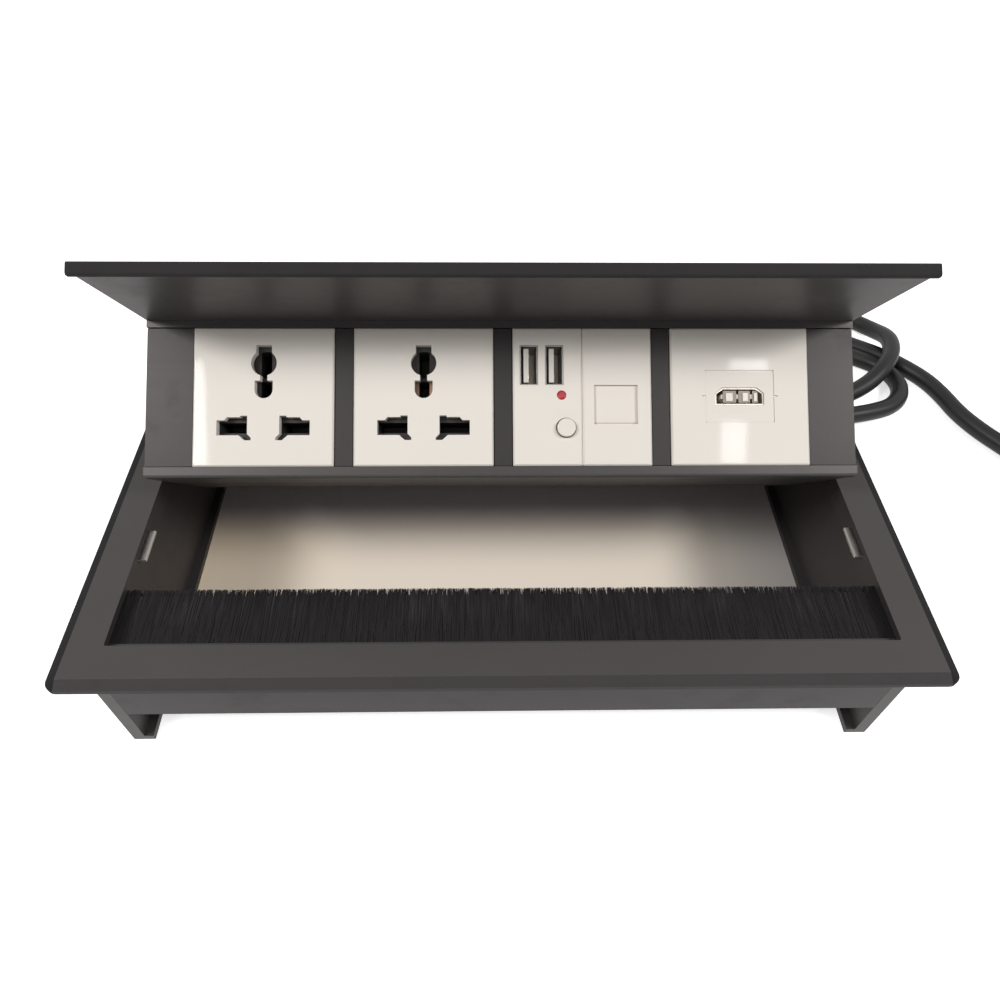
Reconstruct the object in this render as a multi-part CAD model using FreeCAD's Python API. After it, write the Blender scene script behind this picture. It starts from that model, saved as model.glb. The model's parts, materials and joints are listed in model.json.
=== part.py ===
import FreeCAD, Part
import math
import os
from FreeCAD import Placement, Rotation, Vector

# Flip-up desktop socket hub, in millimetres.
# +Z is up, X runs along the front edge, and +Y points away from the user.
# The origin is on the table, under the middle of the frame.
# The lid is drawn closed, with the hinge axis at the origin, and then opened.

# Socket modules and the strip that holds them
module_size = 45.0
module_gap = 6.1
end_block_width = 15.2
fit_gap = 0.1
seam_gap = 0.05

# Lid plate and the box under it
plate_thickness = 3.0
plate_edge_radius = 0.8
front_lip_side = 0.9
front_lip_proud = 0.4
front_lip_depth = 1.8
front_lip_drop = 0.8
canopy_length = 47.1
panel_to_pivot = 63.4
barrel_radius = 7.0
barrel_bore_radius = 4.7
lip_height = 2.3
ledge_height = 3.7
ledge_depth = 3.0
shell_wall = 2.0
box_rear_to_pivot = 8.0
screw_port_radius = 2.6
screw_port_overlap = 0.6
cap_thickness = 2.5
open_angle = 52.2

# Frame in the desk
side_gap = 1.5
brush_slot = 16.7
rear_gap = 0.5
flange_width = 13.4
frame_thickness = 3.0
bevel_width = 3.0
bevel_drop = 1.4
wall_seat_depth = 0.6
corner_radius = 3.5
floor_clearance = 1.5
rib_height = 7.0
rib_thickness = 3.0
rib_length = 105.0

# Walls under the frame
side_setback = 4.3
side_thickness = 4.1
end_setback = 4.35
wall_thickness = 2.0
front_wall_height = 33.2
rear_wall_lift = 5.5
foot_lip_width = 3.0
foot_lip_height = 2.5
tab_length = 9.0
tab_drop = 18.0

# Fasteners
screw_radius = 1.5
screw_head_radius = 2.9
screw_head_depth = 1.6
port_screw_radius = 1.25
fixing_hole_radius = 2.25
fixing_hole_drop = 24.0
fixing_hole_spacing = 80.0
rib_screw_insets = (14.0, 92.0)
tab_screw_inset = 5.0
wall_screw_length = 6.1
rib_screw_length = 6.9
plate_screw_radius = 2.6
plate_screw_depth = 1.4
plate_screw_inset = 25.0
plate_screw_setbacks = (36.0, 45.4)
cap_screw_radius = 2.3
cap_screw_height = 0.9
cap_screw_grip = 7.5

# Hinge
shoulder_radius = 3.0
hinge_thread_radius = 2.0
running_gap = 0.05
bush_wall = 0.8
bush_reach = 1.2
pivot_head_radius = 3.9
pivot_head_height = 1.8
hinge_insert_length = 12.0
disc_radius = 3.9
disc_tab_radius = 10.5
disc_tab_width = 3.0
disc_tab_thickness = 2.0
stop_pin_radius = 1.5
stop_pin_orbit = 8.6
stop_pin_cover = 0.6

# Cable brush along the front of the opening
brush_holder_depth = 2.4
brush_holder_height = 6.0
brush_thickness = 3.0
brush_cover = 1.2
brush_reach = 21.3

# Sprung rests that the closed lid lies on
rest_from_front = 32.3
rest_width = 11.7
rest_reach = 3.5
rest_leaf = 0.7
rest_leg_height = 5.6
rest_gap = 0.3
rest_leg_setback = 3.4

# Module faces and bodies
face_thickness = 3.0
face_proud = 0.2
face_bevel = 0.5
face_corner_radius = 0.4
block_inset = 0.8
body_inset = 2.1
body_depth = 25.0

# Mains inlet
cord_radius = 4.0
cord_lift = 0.1
gland_inset = 19.35
gland_height = 22.0
gland_radius = 8.0
gland_flange_radius = 11.0
gland_flange_thickness = 3.0
gland_hex_width = 20.0
gland_hex_length = 4.0
boot_length = 30.0
boot_base_radius = 7.5
boot_tip_radius = 5.2

# Put-away coil and plug
coil_radius = 52.0
coil_pitch = 9.9
coil_half_turns = 3
plug_width = 49.0
plug_length = 46.0
plug_height = 21.0
plug_corner_radius = 7.0
relief_length = 24.0
relief_base_radius = 7.0
relief_tip_radius = 5.0

# Sizes that follow from the ones above
box_width = 4 * module_size + 3 * module_gap + 2 * end_block_width
opening_width = box_width + 2 * side_gap
opening_depth = brush_slot + canopy_length + panel_to_pivot + barrel_radius + rear_gap
panel_height = lip_height + module_size + ledge_height
frame_top = plate_thickness + panel_height + floor_clearance
frame_bottom = frame_top - frame_thickness
wall_top = frame_bottom + wall_seat_depth
front_edge = -opening_depth / 2
rear_edge = opening_depth / 2
side_inner = opening_width / 2 + side_setback
side_outer = side_inner + side_thickness
wall_front = front_edge - end_setback
wall_rear = rear_edge + end_setback
lid_end = box_width / 2
pivot_y = rear_edge - rear_gap - barrel_radius
pivot_z = frame_top - barrel_radius
plate_under = barrel_radius - plate_thickness
strip_top = plate_under - lip_height
strip_bottom = strip_top - module_size
strip_middle = (strip_top + strip_bottom) / 2
box_bottom = strip_bottom - ledge_height
box_rear = -box_rear_to_pivot
port_end = lid_end - cap_thickness - fit_gap
face_back = face_thickness - face_proud
body_back = face_back + body_depth
module_step = module_size + module_gap
body_width = module_size - 2 * body_inset
gland_x = lid_end - gland_inset
module_centres = [(place - 1.5) * module_step for place in range(4)]
bush_radius = shoulder_radius + running_gap + bush_wall
bush_face = side_inner - bush_reach
head_seat = side_outer - pivot_head_height - running_gap
rib_inner = side_inner - rib_thickness


def point(plane, a, b, level):
    if plane == "xy":
        return Vector(a, b, level)
    if plane == "xz":
        return Vector(a, level, b)
    return Vector(level, a, b)


def block(x_low, x_high, y_low, y_high, z_low, z_high):
    return Part.makeBox(x_high - x_low, y_high - y_low, z_high - z_low, Vector(x_low, y_low, z_low))


def prism(plane, corners, low, high):
    ring = [point(plane, a, b, low) for a, b in corners]
    face = Part.Face(Part.makePolygon(ring + ring[:1]))
    return face.extrude(point(plane, 0, 0, high - low))


def rounded_ring(plane, a_low, a_high, b_low, b_high, radius, level):
    bend = radius * (1 - math.sqrt(0.5))
    corners = [
        ((a_high - radius, b_low), (a_high - bend, b_low + bend), (a_high, b_low + radius)),
        ((a_high, b_high - radius), (a_high - bend, b_high - bend), (a_high - radius, b_high)),
        ((a_low + radius, b_high), (a_low + bend, b_high - bend), (a_low, b_high - radius)),
        ((a_low, b_low + radius), (a_low + bend, b_low + bend), (a_low + radius, b_low)),
    ]
    edges = []
    last = corners[-1][2]
    for start, middle, end in corners:
        edges.append(Part.LineSegment(point(plane, *last, level), point(plane, *start, level)).toShape())
        arc = [point(plane, a, b, level) for a, b in (start, middle, end)]
        edges.append(Part.Arc(*arc).toShape())
        last = end
    return Part.Wire(edges)


def rounded_slab(plane, a_low, a_high, b_low, b_high, radius, low, high):
    ring = rounded_ring(plane, a_low, a_high, b_low, b_high, radius, low)
    return Part.Face(ring).extrude(point(plane, 0, 0, high - low))


def rod(axis, centre, radius, low, high):
    direction = {"x": Vector(1, 0, 0), "y": Vector(0, 1, 0), "z": Vector(0, 0, 1)}[axis]
    plane = {"x": "yz", "y": "xz", "z": "xy"}[axis]
    return Part.makeCylinder(radius, high - low, point(plane, *centre, low), direction)


def cone(axis, centre, radius_low, radius_high, low, high):
    direction = {"x": Vector(1, 0, 0), "y": Vector(0, 1, 0), "z": Vector(0, 0, 1)}[axis]
    plane = {"x": "yz", "y": "xz", "z": "xy"}[axis]
    return Part.makeCone(radius_low, radius_high, high - low, point(plane, *centre, low), direction)


def joined(shapes):
    return shapes[0].multiFuse(shapes[1:]).removeSplitter()


def mirrored(shape):
    return shape.mirror(Vector(0, 0, 0), Vector(1, 0, 0))


def moved(shape, x, y, z):
    copy = shape.copy()
    copy.translate(Vector(x, y, z))
    return copy


def open_lid(shape):
    copy = shape.copy()
    copy.rotate(Vector(0, 0, 0), Vector(1, 0, 0), -open_angle)
    copy.translate(Vector(0, pivot_y, pivot_z))
    return copy


def on_panel(shape, module=0.0):
    return open_lid(moved(shape, module, -panel_to_pivot, strip_middle))


def save(name, shapes):
    solids = [solid for shape in shapes for solid in shape.Solids]
    shape = solids[0] if len(solids) == 1 else Part.makeCompound(solids)
    shape.exportStep("parts/" + name + ".step")
    print(name, len(solids), round(shape.Volume))


def countersunk_screw(centre, length):
    # A screw along X whose head lies flush in the outer face of the right side plate.
    neck = side_outer - screw_head_depth
    head = cone("x", centre, screw_radius, screw_head_radius, neck, side_outer)
    shank = rod("x", centre, screw_radius, side_outer - length, neck)
    socket = rod("x", centre, screw_radius * 0.7, neck, side_outer)
    return joined([head, shank]).cut(socket)


# Places of the wall screws, as (y, z)

def rib_screw_places():
    height = frame_bottom - rib_height / 2
    return [(front_edge + inset, height) for inset in rib_screw_insets]


def tab_screw_places():
    front_y = wall_front + wall_thickness + tab_length / 2
    rear_y = wall_rear - wall_thickness - tab_length / 2
    front_low = frame_bottom - front_wall_height + tab_screw_inset
    front_high = frame_bottom - rib_height - tab_screw_inset
    rear_low = rear_wall_lift + tab_screw_inset
    rear_high = frame_bottom - tab_drop - tab_screw_inset
    return [(front_y, front_low), (front_y, front_high), (rear_y, rear_low), (rear_y, rear_high)]


# Frame

def make_frame():
    half_x = opening_width / 2 + flange_width
    half_y = opening_depth / 2 + flange_width
    bevel_base = frame_top - bevel_drop
    top_radius = max(corner_radius - bevel_width, 0.4)
    outer = rounded_ring("xy", -half_x, half_x, -half_y, half_y, corner_radius, bevel_base)
    in_x = half_x - bevel_width
    in_y = half_y - bevel_width
    inner = rounded_ring("xy", -in_x, in_x, -in_y, in_y, top_radius, frame_top)
    base = rounded_slab("xy", -half_x, half_x, -half_y, half_y, corner_radius, frame_bottom, bevel_base)
    bevel = Part.makeLoft([outer, inner], True, True)
    plate = joined([base, bevel])
    half_opening = opening_width / 2
    plate = plate.cut(rounded_slab("xy", -half_opening, half_opening, front_edge, rear_edge, 0.6,
                                   frame_bottom - 1, frame_top + 1))
    # The walls stand in a shallow seat, and the flat ring round it rests on the desk.
    plate = plate.cut(block(-side_outer, side_outer, wall_front, wall_rear, frame_bottom - 1, wall_top))
    low = frame_bottom - rib_height
    rib_back = front_edge + rib_length
    front_rib = block(-side_inner, side_inner, wall_front + wall_thickness, front_edge, low, wall_top)
    side_rib = block(rib_inner, side_inner, front_edge, rib_back, low, wall_top)
    frame = joined([plate, front_rib, side_rib, mirrored(side_rib)])
    for place in rib_screw_places():
        hole = rod("x", place, screw_radius, side_outer - rib_screw_length, side_inner + 1)
        frame = frame.cut(hole).cut(mirrored(hole))
    for hole in rest_rivet_holes():
        frame = frame.cut(hole)
    return frame


# Walls under the frame

def make_front_wall():
    low = frame_bottom - front_wall_height
    inner_face = wall_front + wall_thickness
    wall = block(-side_inner, side_inner, wall_front, inner_face, low, wall_top)
    tab = block(side_inner - wall_thickness, side_inner, inner_face, inner_face + tab_length,
                low, frame_bottom - rib_height)
    wall = joined([wall, tab, mirrored(tab)])
    return drill_tabs(wall)


def make_rear_wall():
    inner_face = wall_rear - wall_thickness
    wall = block(-side_inner, side_inner, inner_face, wall_rear, rear_wall_lift, wall_top)
    tab = block(side_inner - wall_thickness, side_inner, inner_face - tab_length, inner_face,
                rear_wall_lift, frame_bottom - tab_drop)
    wall = joined([wall, tab, mirrored(tab)])
    hole = rod("y", (gland_x, gland_height), gland_radius, inner_face - 1, wall_rear + 1)
    return drill_tabs(wall.cut(hole))


def drill_tabs(wall):
    for place in tab_screw_places():
        hole = rod("x", place, screw_radius, side_inner - wall_thickness - 1, side_inner + 1)
        wall = wall.cut(hole).cut(mirrored(hole))
    return wall


def stop_pin_centre():
    across = disc_tab_width / 2 + stop_pin_radius + running_gap
    return (pivot_y - across, pivot_z - math.sqrt(stop_pin_orbit ** 2 - across ** 2))


def fixing_hole_places():
    height = frame_top - fixing_hole_drop
    return [(-fixing_hole_spacing / 2, height), (fixing_hole_spacing / 2, height)]


def make_side_plate():
    plate = block(side_inner, side_outer, wall_front, wall_rear, 0, wall_top)
    lip = block(side_inner - foot_lip_width, side_inner, wall_front, wall_rear, 0, foot_lip_height)
    plate = joined([plate, lip])
    pivot = (pivot_y, pivot_z)
    plate = plate.cut(rod("x", pivot, bush_radius, side_inner - 1, side_outer + 1))
    plate = plate.cut(rod("x", pivot, pivot_head_radius + running_gap, head_seat, side_outer + 1))
    plate = plate.cut(rod("x", stop_pin_centre(), stop_pin_radius, side_inner - 1, side_outer - stop_pin_cover))
    for place in fixing_hole_places():
        plate = plate.cut(rod("x", place, fixing_hole_radius, side_inner - 1, side_outer + 1))
    for place in rib_screw_places() + tab_screw_places():
        plate = plate.cut(rod("x", place, screw_radius, side_inner - 1, side_outer + 1))
        neck = side_outer - screw_head_depth
        plate = plate.cut(cone("x", place, screw_radius, screw_head_radius, neck, side_outer))
    return plate


def make_wall_screws():
    screws = []
    for place in rib_screw_places():
        screws.append(countersunk_screw(place, rib_screw_length))
    for place in tab_screw_places():
        screws.append(countersunk_screw(place, wall_screw_length))
    return screws + [mirrored(screw) for screw in screws]


# Cable brush

def make_brush_holder():
    half = rib_inner - fit_gap
    top = frame_bottom - fit_gap
    holder = block(-half, half, front_edge, front_edge + brush_holder_depth, top - brush_holder_height, top)
    slot_top = top - brush_cover
    slot = block(-half, half, front_edge + 0.8, front_edge + brush_holder_depth + 1,
                 slot_top - brush_thickness, slot_top)
    return holder.cut(slot)


def make_brush_bristles():
    half = rib_inner - fit_gap
    top = frame_bottom - fit_gap - brush_cover
    return block(-half, half, front_edge + 0.8, front_edge + brush_reach, top - brush_thickness, top)


# Sprung rests for the closed lid

def rest_top():
    return frame_top - plate_thickness - rest_gap


def rest_rivet_places():
    y = front_edge + rest_from_front
    height = rest_top() - 3.4
    return [(y + rest_leg_setback + 2.0, height), (y + rest_width - 2.0, height)]


def rest_rivet_holes():
    holes = [rod("x", place, 0.8, rib_inner - 1, rib_inner + 2.0) for place in rest_rivet_places()]
    return holes + [mirrored(hole) for hole in holes]


def make_lid_rest():
    y_low = front_edge + rest_from_front
    y_high = y_low + rest_width
    top = rest_top()
    leg = block(rib_inner - rest_leaf, rib_inner, y_low + rest_leg_setback, y_high, top - rest_leg_height, top)
    leaf = rounded_slab("xy", rib_inner - rest_reach, rib_inner, y_low, y_high, 0.3, top - rest_leaf, top)
    rest = joined([leg, leaf])
    for place in rest_rivet_places():
        rest = rest.cut(rod("x", place, 0.8, rib_inner - 2, rib_inner + 1))
    return rest


def make_rest_rivets():
    rivets = []
    for place in rest_rivet_places():
        shank = rod("x", place, 0.8, rib_inner - rest_leaf, rib_inner + 2.0)
        head = rod("x", place, 1.5, rib_inner - rest_leaf - 0.5, rib_inner - rest_leaf)
        rivets.append(joined([shank, head]))
    return rivets + [mirrored(rivet) for rivet in rivets]


# Hinge

def make_pivot_bush():
    centre = (pivot_y, pivot_z)
    sleeve = rod("x", centre, bush_radius, bush_face, head_seat)
    return sleeve.cut(rod("x", centre, shoulder_radius + running_gap, bush_face - 1, side_outer + 1))


def make_stop_pin():
    return rod("x", stop_pin_centre(), stop_pin_radius, lid_end + 0.5, side_outer - stop_pin_cover)


def make_pivot_screw():
    # Drawn about the hinge axis, like everything that turns with the lid.
    centre = (0, 0)
    thread = rod("x", centre, hinge_thread_radius, lid_end - hinge_insert_length + 2, lid_end)
    head_low = head_seat + running_gap
    shoulder = rod("x", centre, shoulder_radius, lid_end, head_low)
    head = rod("x", centre, pivot_head_radius, head_low, head_low + pivot_head_height)
    flats = []
    for turn in range(6):
        angle = math.radians(60 * turn)
        flats.append((1.6 * math.cos(angle), 1.6 * math.sin(angle)))
    key = prism("yz", flats, head_low + 0.6, head_low + pivot_head_height + 1)
    return joined([thread, shoulder, head]).cut(key)


def make_hinge_insert():
    outer = rod("x", (0, 0), barrel_bore_radius, lid_end - hinge_insert_length, lid_end)
    return outer.cut(rod("x", (0, 0), hinge_thread_radius, lid_end - hinge_insert_length - 1, lid_end + 1))


def make_friction_disc():
    # The tab points straight down while the lid is open, and the stop pin holds it there.
    disc_end = bush_face - 2 * running_gap
    disc = rod("x", (0, 0), disc_radius, lid_end, disc_end)
    tab_low = lid_end + 1.2
    half = disc_tab_width / 2
    tab = block(tab_low, tab_low + disc_tab_thickness, -half, half, -disc_tab_radius, 0)
    bore = rod("x", (0, 0), shoulder_radius, lid_end - 1, disc_end + 1)
    return joined([disc, tab]).cut(bore)


def placed_at_pivot(shape):
    return moved(shape, 0, pivot_y, pivot_z)


# Lid plate and box, drawn closed about the hinge axis

def make_lid_plate():
    front = -panel_to_pivot - canopy_length - front_lip_proud
    lip_end = lid_end + front_lip_side
    plate = block(-lid_end, lid_end, front + front_lip_proud, 0, plate_under, barrel_radius)
    lip = block(-lip_end, lip_end, front, front + front_lip_depth, plate_under - front_lip_drop, barrel_radius)
    plate = joined([plate, lip])
    edges = [edge for edge in plate.Edges if is_front_edge(edge, front)]
    plate = plate.makeFillet(plate_edge_radius, edges)
    barrel = rod("x", (0, 0), barrel_radius, -lid_end, lid_end)
    bore = rod("x", (0, 0), barrel_bore_radius, -lid_end - 1, lid_end + 1)
    lid = joined([plate, barrel]).cut(bore)
    for x, y in plate_screw_places():
        lid = lid.cut(rod("z", (x, y), screw_radius, plate_under - 1, plate_under + 1.8))
    return lid


def is_front_edge(edge, front):
    return all(abs(vertex.Y - front) < 0.01 for vertex in edge.Vertexes) and edge.Length > 50


def plate_screw_places():
    x = lid_end - plate_screw_inset
    front, back = [setback - panel_to_pivot for setback in plate_screw_setbacks]
    return [(side * x, y) for side in (-1, 1) for y in (front, back)] + [(0, back)]


def port_places():
    reach = screw_port_radius - screw_port_overlap
    inset = shell_wall + reach
    return [(box_rear - inset, strip_top - reach), (box_rear - inset, box_bottom + inset)]


def make_box_shell():
    front = -panel_to_pivot
    floor = box_bottom + shell_wall
    back = box_rear - shell_wall
    outline = [
        (front, plate_under),
        (box_rear, plate_under),
        (box_rear, box_bottom),
        (front, box_bottom),
        (front, strip_bottom),
        (front + ledge_depth, strip_bottom),
        (front + ledge_depth, floor),
        (back, floor),
        (back, strip_top),
        (front, strip_top),
    ]
    shell = prism("yz", outline, -lid_end, lid_end)
    corner_edges = [edge for edge in shell.Edges if is_long_edge_at(edge, box_bottom)]
    shell = shell.makeFillet(min(1.2, shell_wall * 0.6), corner_edges)
    for place in port_places():
        port = rod("x", place, screw_port_radius, -port_end, port_end)
        shell = joined([shell, port])
    for place in port_places():
        shell = shell.cut(rod("x", place, port_screw_radius, port_end - 9, lid_end))
        shell = shell.cut(rod("x", place, port_screw_radius, -lid_end, 9 - port_end))
    for x, y in plate_screw_places():
        shell = shell.cut(rod("z", (x, y), screw_radius, strip_top - 1, plate_under + 1))
    grommet = rod("y", grommet_centre(), grommet_radius, back - 1, box_rear + 1)
    return shell.cut(grommet)


def is_long_edge_at(edge, height):
    return edge.Length > 50 and all(abs(vertex.Z - height) < 0.01 for vertex in edge.Vertexes)


def make_end_cap():
    front = -panel_to_pivot + max(face_back, ledge_depth) + fit_gap
    back = box_rear - shell_wall - fit_gap
    low = box_bottom + shell_wall + fit_gap
    cap = block(lid_end - cap_thickness, lid_end, front, back, low, strip_top - fit_gap)
    for place in port_places() + [end_block_screw_place()]:
        cap = cap.cut(rod("x", place, port_screw_radius, lid_end - 3, lid_end + 1))
    return cap


def end_block_screw_place():
    return (-panel_to_pivot + face_back + 7.0, strip_middle)


def make_cap_screws():
    screws = []
    for place in port_places() + [end_block_screw_place()]:
        head = rod("x", place, cap_screw_radius, lid_end, lid_end + cap_screw_height)
        shank = rod("x", place, port_screw_radius, port_end - cap_screw_grip, lid_end)
        reach = cap_screw_radius * 0.7
        slot = block(lid_end + cap_screw_height / 2, lid_end + 2 * cap_screw_height,
                     place[0] - reach, place[0] + reach, place[1] - 0.3, place[1] + 0.3)
        screws.append(joined([head, shank]).cut(slot))
    return screws + [mirrored(screw) for screw in screws]


def make_plate_screws():
    screws = []
    for x, y in plate_screw_places():
        head = rod("z", (x, y), plate_screw_radius, strip_top - plate_screw_depth, strip_top)
        shank = rod("z", (x, y), screw_radius, strip_top, plate_under + 1.7)
        screws.append(joined([head, shank]))
    return screws


# Strip parts, drawn in the panel: x right, z up from the strip's middle, y into the box

def strip_face(x_low, x_high, front, radius, bevel):
    # A face plate with bevelled front edges.
    half = module_size / 2 - fit_gap
    x_low = x_low + fit_gap
    x_high = x_high - fit_gap
    outer = rounded_ring("xz", x_low, x_high, -half, half, radius, front + bevel)
    inner = rounded_ring("xz", x_low + bevel, x_high - bevel, -half + bevel, half - bevel,
                         max(radius - bevel, 0.2), front)
    base = rounded_slab("xz", x_low, x_high, -half, half, radius, front + bevel, face_back)
    return joined([base, Part.makeLoft([outer, inner], True, True)])


def module_face(x_low, x_high):
    return strip_face(x_low, x_high, -face_proud, face_corner_radius, face_bevel)


def make_end_block():
    inner = lid_end - end_block_width
    face = strip_face(inner, lid_end + fit_gap, block_inset, 0.3, 0.15)
    half = body_width / 2
    web = block(inner + 2.4, port_end, face_back, face_back + 10, -half, half)
    y = end_block_screw_place()[0] + panel_to_pivot
    return joined([face, web]).cut(rod("x", (y, 0), port_screw_radius, lid_end - 12, lid_end + 1))


def make_module_dividers():
    dividers = []
    for left, right in zip(module_centres[:-1], module_centres[1:]):
        x = (left + right) / 2
        face = strip_face(x - module_gap / 2, x + module_gap / 2, block_inset, 0.3, 0.15)
        half = body_width / 2
        web = block(x - 1, x + 1, face_back, face_back + 18, -half, half)
        dividers.append(joined([face, web]))
    return dividers


# Universal mains socket

earth_centre = (0.0, 10.9)
earth_radius = 4.1
centre_hole = (0.0, 2.4)


def line_hole_outline(side):
    outline = [
        (5.1, -12.0),
        (5.1, -6.1),
        (7.4, -6.1),
        (7.4, -6.6),
        (11.6, -6.6),
        (12.4, -7.6),
        (14.8, -7.6),
        (14.8, -12.4),
        (7.8, -12.4),
        (6.0, -14.0),
        (3.9, -14.0),
        (3.9, -13.2),
    ]
    return [(side * x, z) for x, z in outline]


def pin_cutter(low, high):
    earth = rod("y", earth_centre, earth_radius, low, high)
    notch = block(-2.5, 2.5, low, high, earth_centre[1], 16.7)
    neck = block(-1.15, 1.15, low, high, 4.0, earth_centre[1])
    centre_flat = block(-2.9, 2.9, low, high, centre_hole[1], 5.2)
    centre_round = rod("y", centre_hole, 2.9, low, high)
    lines = [prism("xz", line_hole_outline(side), low, high) for side in (-1, 1)]
    return joined([earth, notch, neck, centre_flat, centre_round]).fuse(lines[0]).fuse(lines[1])


def make_socket_face():
    half = module_size / 2
    return module_face(-half, half).cut(pin_cutter(-face_proud - 1, face_back + 1))


contact_front = face_back + 0.6
contact_depth = 14.0
contact_gap = 3.4
contact_back = 0.8


def contact_pockets(grow):
    # The pockets in the body or, with a smaller growth, the outsides of the contacts in them.
    low = contact_front
    high = contact_front + contact_depth + grow
    earth = rod("y", earth_centre, earth_radius + grow, low, high)
    x, z = centre_hole
    centre = block(x - 2.9 - grow, x + 2.9 + grow, low, high, z - 2.9 - grow, z + 2.8 + grow)
    line = block(5.2 - grow, 14.6 + grow, low, high, -12.4 - grow, -7.0 + grow)
    return [earth, centre, line, mirrored(line)]


def make_socket_body():
    half = body_width / 2
    body = rounded_slab("xz", -half, half, -half, half, 2.0, face_back, body_back)
    for pocket in contact_pockets(0.3):
        body = body.cut(pocket)
    return body.cut(pin_cutter(face_back - 1, contact_front))


def make_socket_contacts():
    # Each contact is a clip of two leaves joined at the back, with its slot open at the front.
    low = contact_front - 1
    high = contact_front + contact_depth - contact_back
    half = contact_gap / 2
    upright = block(-half, half, low, high, -30, 30)
    level = block(-30, 30, low, high, -9.7 - half, -9.7 + half)
    earth, centre, right, left = contact_pockets(0.2)
    return [earth.cut(upright), centre.cut(upright), right.cut(level), left.cut(level)]


# Twin charging outlet with its lamp and push button

half_case_outer = module_size / 2 - 0.9
half_case_inner = 0.5
half_case_wall = 0.8
charger_x = -(half_case_outer + half_case_inner) / 2
usb_port_z = 10.2
usb_shell_width = 5.7
usb_shell_height = 12.8
usb_shell_wall = 0.3
usb_case_gap = 0.75
usb_port_spacing = 8.2
usb_outer_x = usb_case_gap + usb_shell_width / 2 + half_case_wall - half_case_outer
usb_port_x = (usb_outer_x, usb_outer_x + usb_port_spacing)
usb_tongue_gap = 0.9
usb_tongue_thickness = 1.6
usb_tongue_width = 11.0
usb_tongue_recess = 0.6
led_centre = (-6.7, 0.4)
led_radius = 1.55
led_tip_radius = 0.9
led_tip_length = 0.6
button_centre = (-5.3, -10.2)
button_radius = 3.0
button_hole_radius = 3.3
button_proud = 1.6
button_travel = 0.9
board_front = face_back + 10.4
board_thickness = 1.6
board_margin = 0.6
usb_shell_front = 0.3 - face_proud
usb_shell_depth = board_front - usb_shell_front


def make_usb_face():
    face = module_face(-module_size / 2, fit_gap - seam_gap)
    low = -face_proud - 1
    high = face_back + 1
    for x in usb_port_x:
        half_x = usb_shell_width / 2 + fit_gap
        half_z = usb_shell_height / 2 + fit_gap
        face = face.cut(block(x - half_x, x + half_x, low, high, usb_port_z - half_z, usb_port_z + half_z))
    face = face.cut(rod("y", led_centre, led_radius, low, high))
    face = face.cut(rod("y", button_centre, button_hole_radius, low, high))
    return face


def make_usb_shells():
    shells = []
    for x in usb_port_x:
        half_x = usb_shell_width / 2
        half_z = usb_shell_height / 2
        front = usb_shell_front
        back = front + usb_shell_depth
        outer = block(x - half_x, x + half_x, front, back, usb_port_z - half_z, usb_port_z + half_z)
        wall = usb_shell_wall
        inner = block(x - half_x + wall, x + half_x - wall, front - 1, back - wall,
                      usb_port_z - half_z + wall, usb_port_z + half_z - wall)
        shells.append(outer.cut(inner))
    return shells


def make_usb_tongues():
    tongues = []
    for x in usb_port_x:
        left = x - usb_shell_width / 2 + usb_shell_wall + usb_tongue_gap
        back = usb_shell_front + usb_shell_depth - usb_shell_wall
        half = usb_tongue_width / 2
        tongues.append(block(left, left + usb_tongue_thickness, usb_shell_front + usb_tongue_recess, back,
                             usb_port_z - half, usb_port_z + half))
    return tongues


def make_led_lens():
    lens = rod("y", led_centre, led_radius, -face_proud, face_back)
    tip = cone("y", led_centre, led_tip_radius, led_radius, -face_proud - led_tip_length, -face_proud)
    legs = []
    for side in (-1, 1):
        legs.append(rod("y", (led_centre[0], led_centre[1] + side * 0.9), 0.25, face_back, board_front))
    return joined([lens, tip] + legs)


def make_usb_button():
    front = -face_proud - button_proud
    cap = rod("y", button_centre, button_radius, front, face_back + 0.3 + button_travel)
    cap = cap.makeFillet(0.4, [edge for edge in cap.Edges if edge.BoundBox.YMax < front + 0.01])
    flange_low = face_back + 0.3
    flange = rod("y", button_centre, button_hole_radius + 0.4, flange_low, flange_low + 0.8)
    stem = rod("y", button_centre, 1.0, flange_low, button_rest_y())
    return joined([cap, flange, stem])


def button_rest_y():
    return board_front - 3.5 - button_travel - 0.1


def make_button_switch():
    x, z = button_centre
    return block(x - 3, x + 3, board_front - 3.5, board_front, z - 3, z + 3)


def make_charger_board():
    left = half_case_wall - half_case_outer
    right = -half_case_inner - half_case_wall
    half = body_width / 2 - half_case_wall - board_margin
    return block(left, right, board_front, board_front + board_thickness, -half, half)


def make_charger_parts():
    back = board_front + board_thickness
    transformer = block(charger_x - 7.0, charger_x + 5.0, back, back + 8.0, -4.0, 9.0)
    capacitor = rod("y", (charger_x + 1.0, -12.0), 4.0, back, back + 7.5)
    coil = rod("y", (charger_x - 6.0, 14.0), 2.6, back, back + 5.0)
    return [transformer, capacitor, coil]


def half_case():
    # The open-fronted case behind a half module, drawn for the right-hand half.
    half = body_width / 2
    wall = half_case_wall
    case = block(half_case_inner, half_case_outer, face_back, body_back, -half, half)
    inside = block(half_case_inner + wall, half_case_outer - wall, face_back - 1, body_back - wall,
                   wall - half, half - wall)
    return case.cut(inside)


def make_charger_case():
    return mirrored(half_case())


# Data outlet with a sliding dust shutter

window = (3.8, 17.9, -9.1, 3.7)
shutter_front = -face_proud + 1.0
shutter_thickness = 1.2
shutter_overlap = 1.0
shutter_travel = 14.3
jack_front = shutter_front + shutter_thickness + fit_gap
jack_cavity = (11.7, 8.2)


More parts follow.
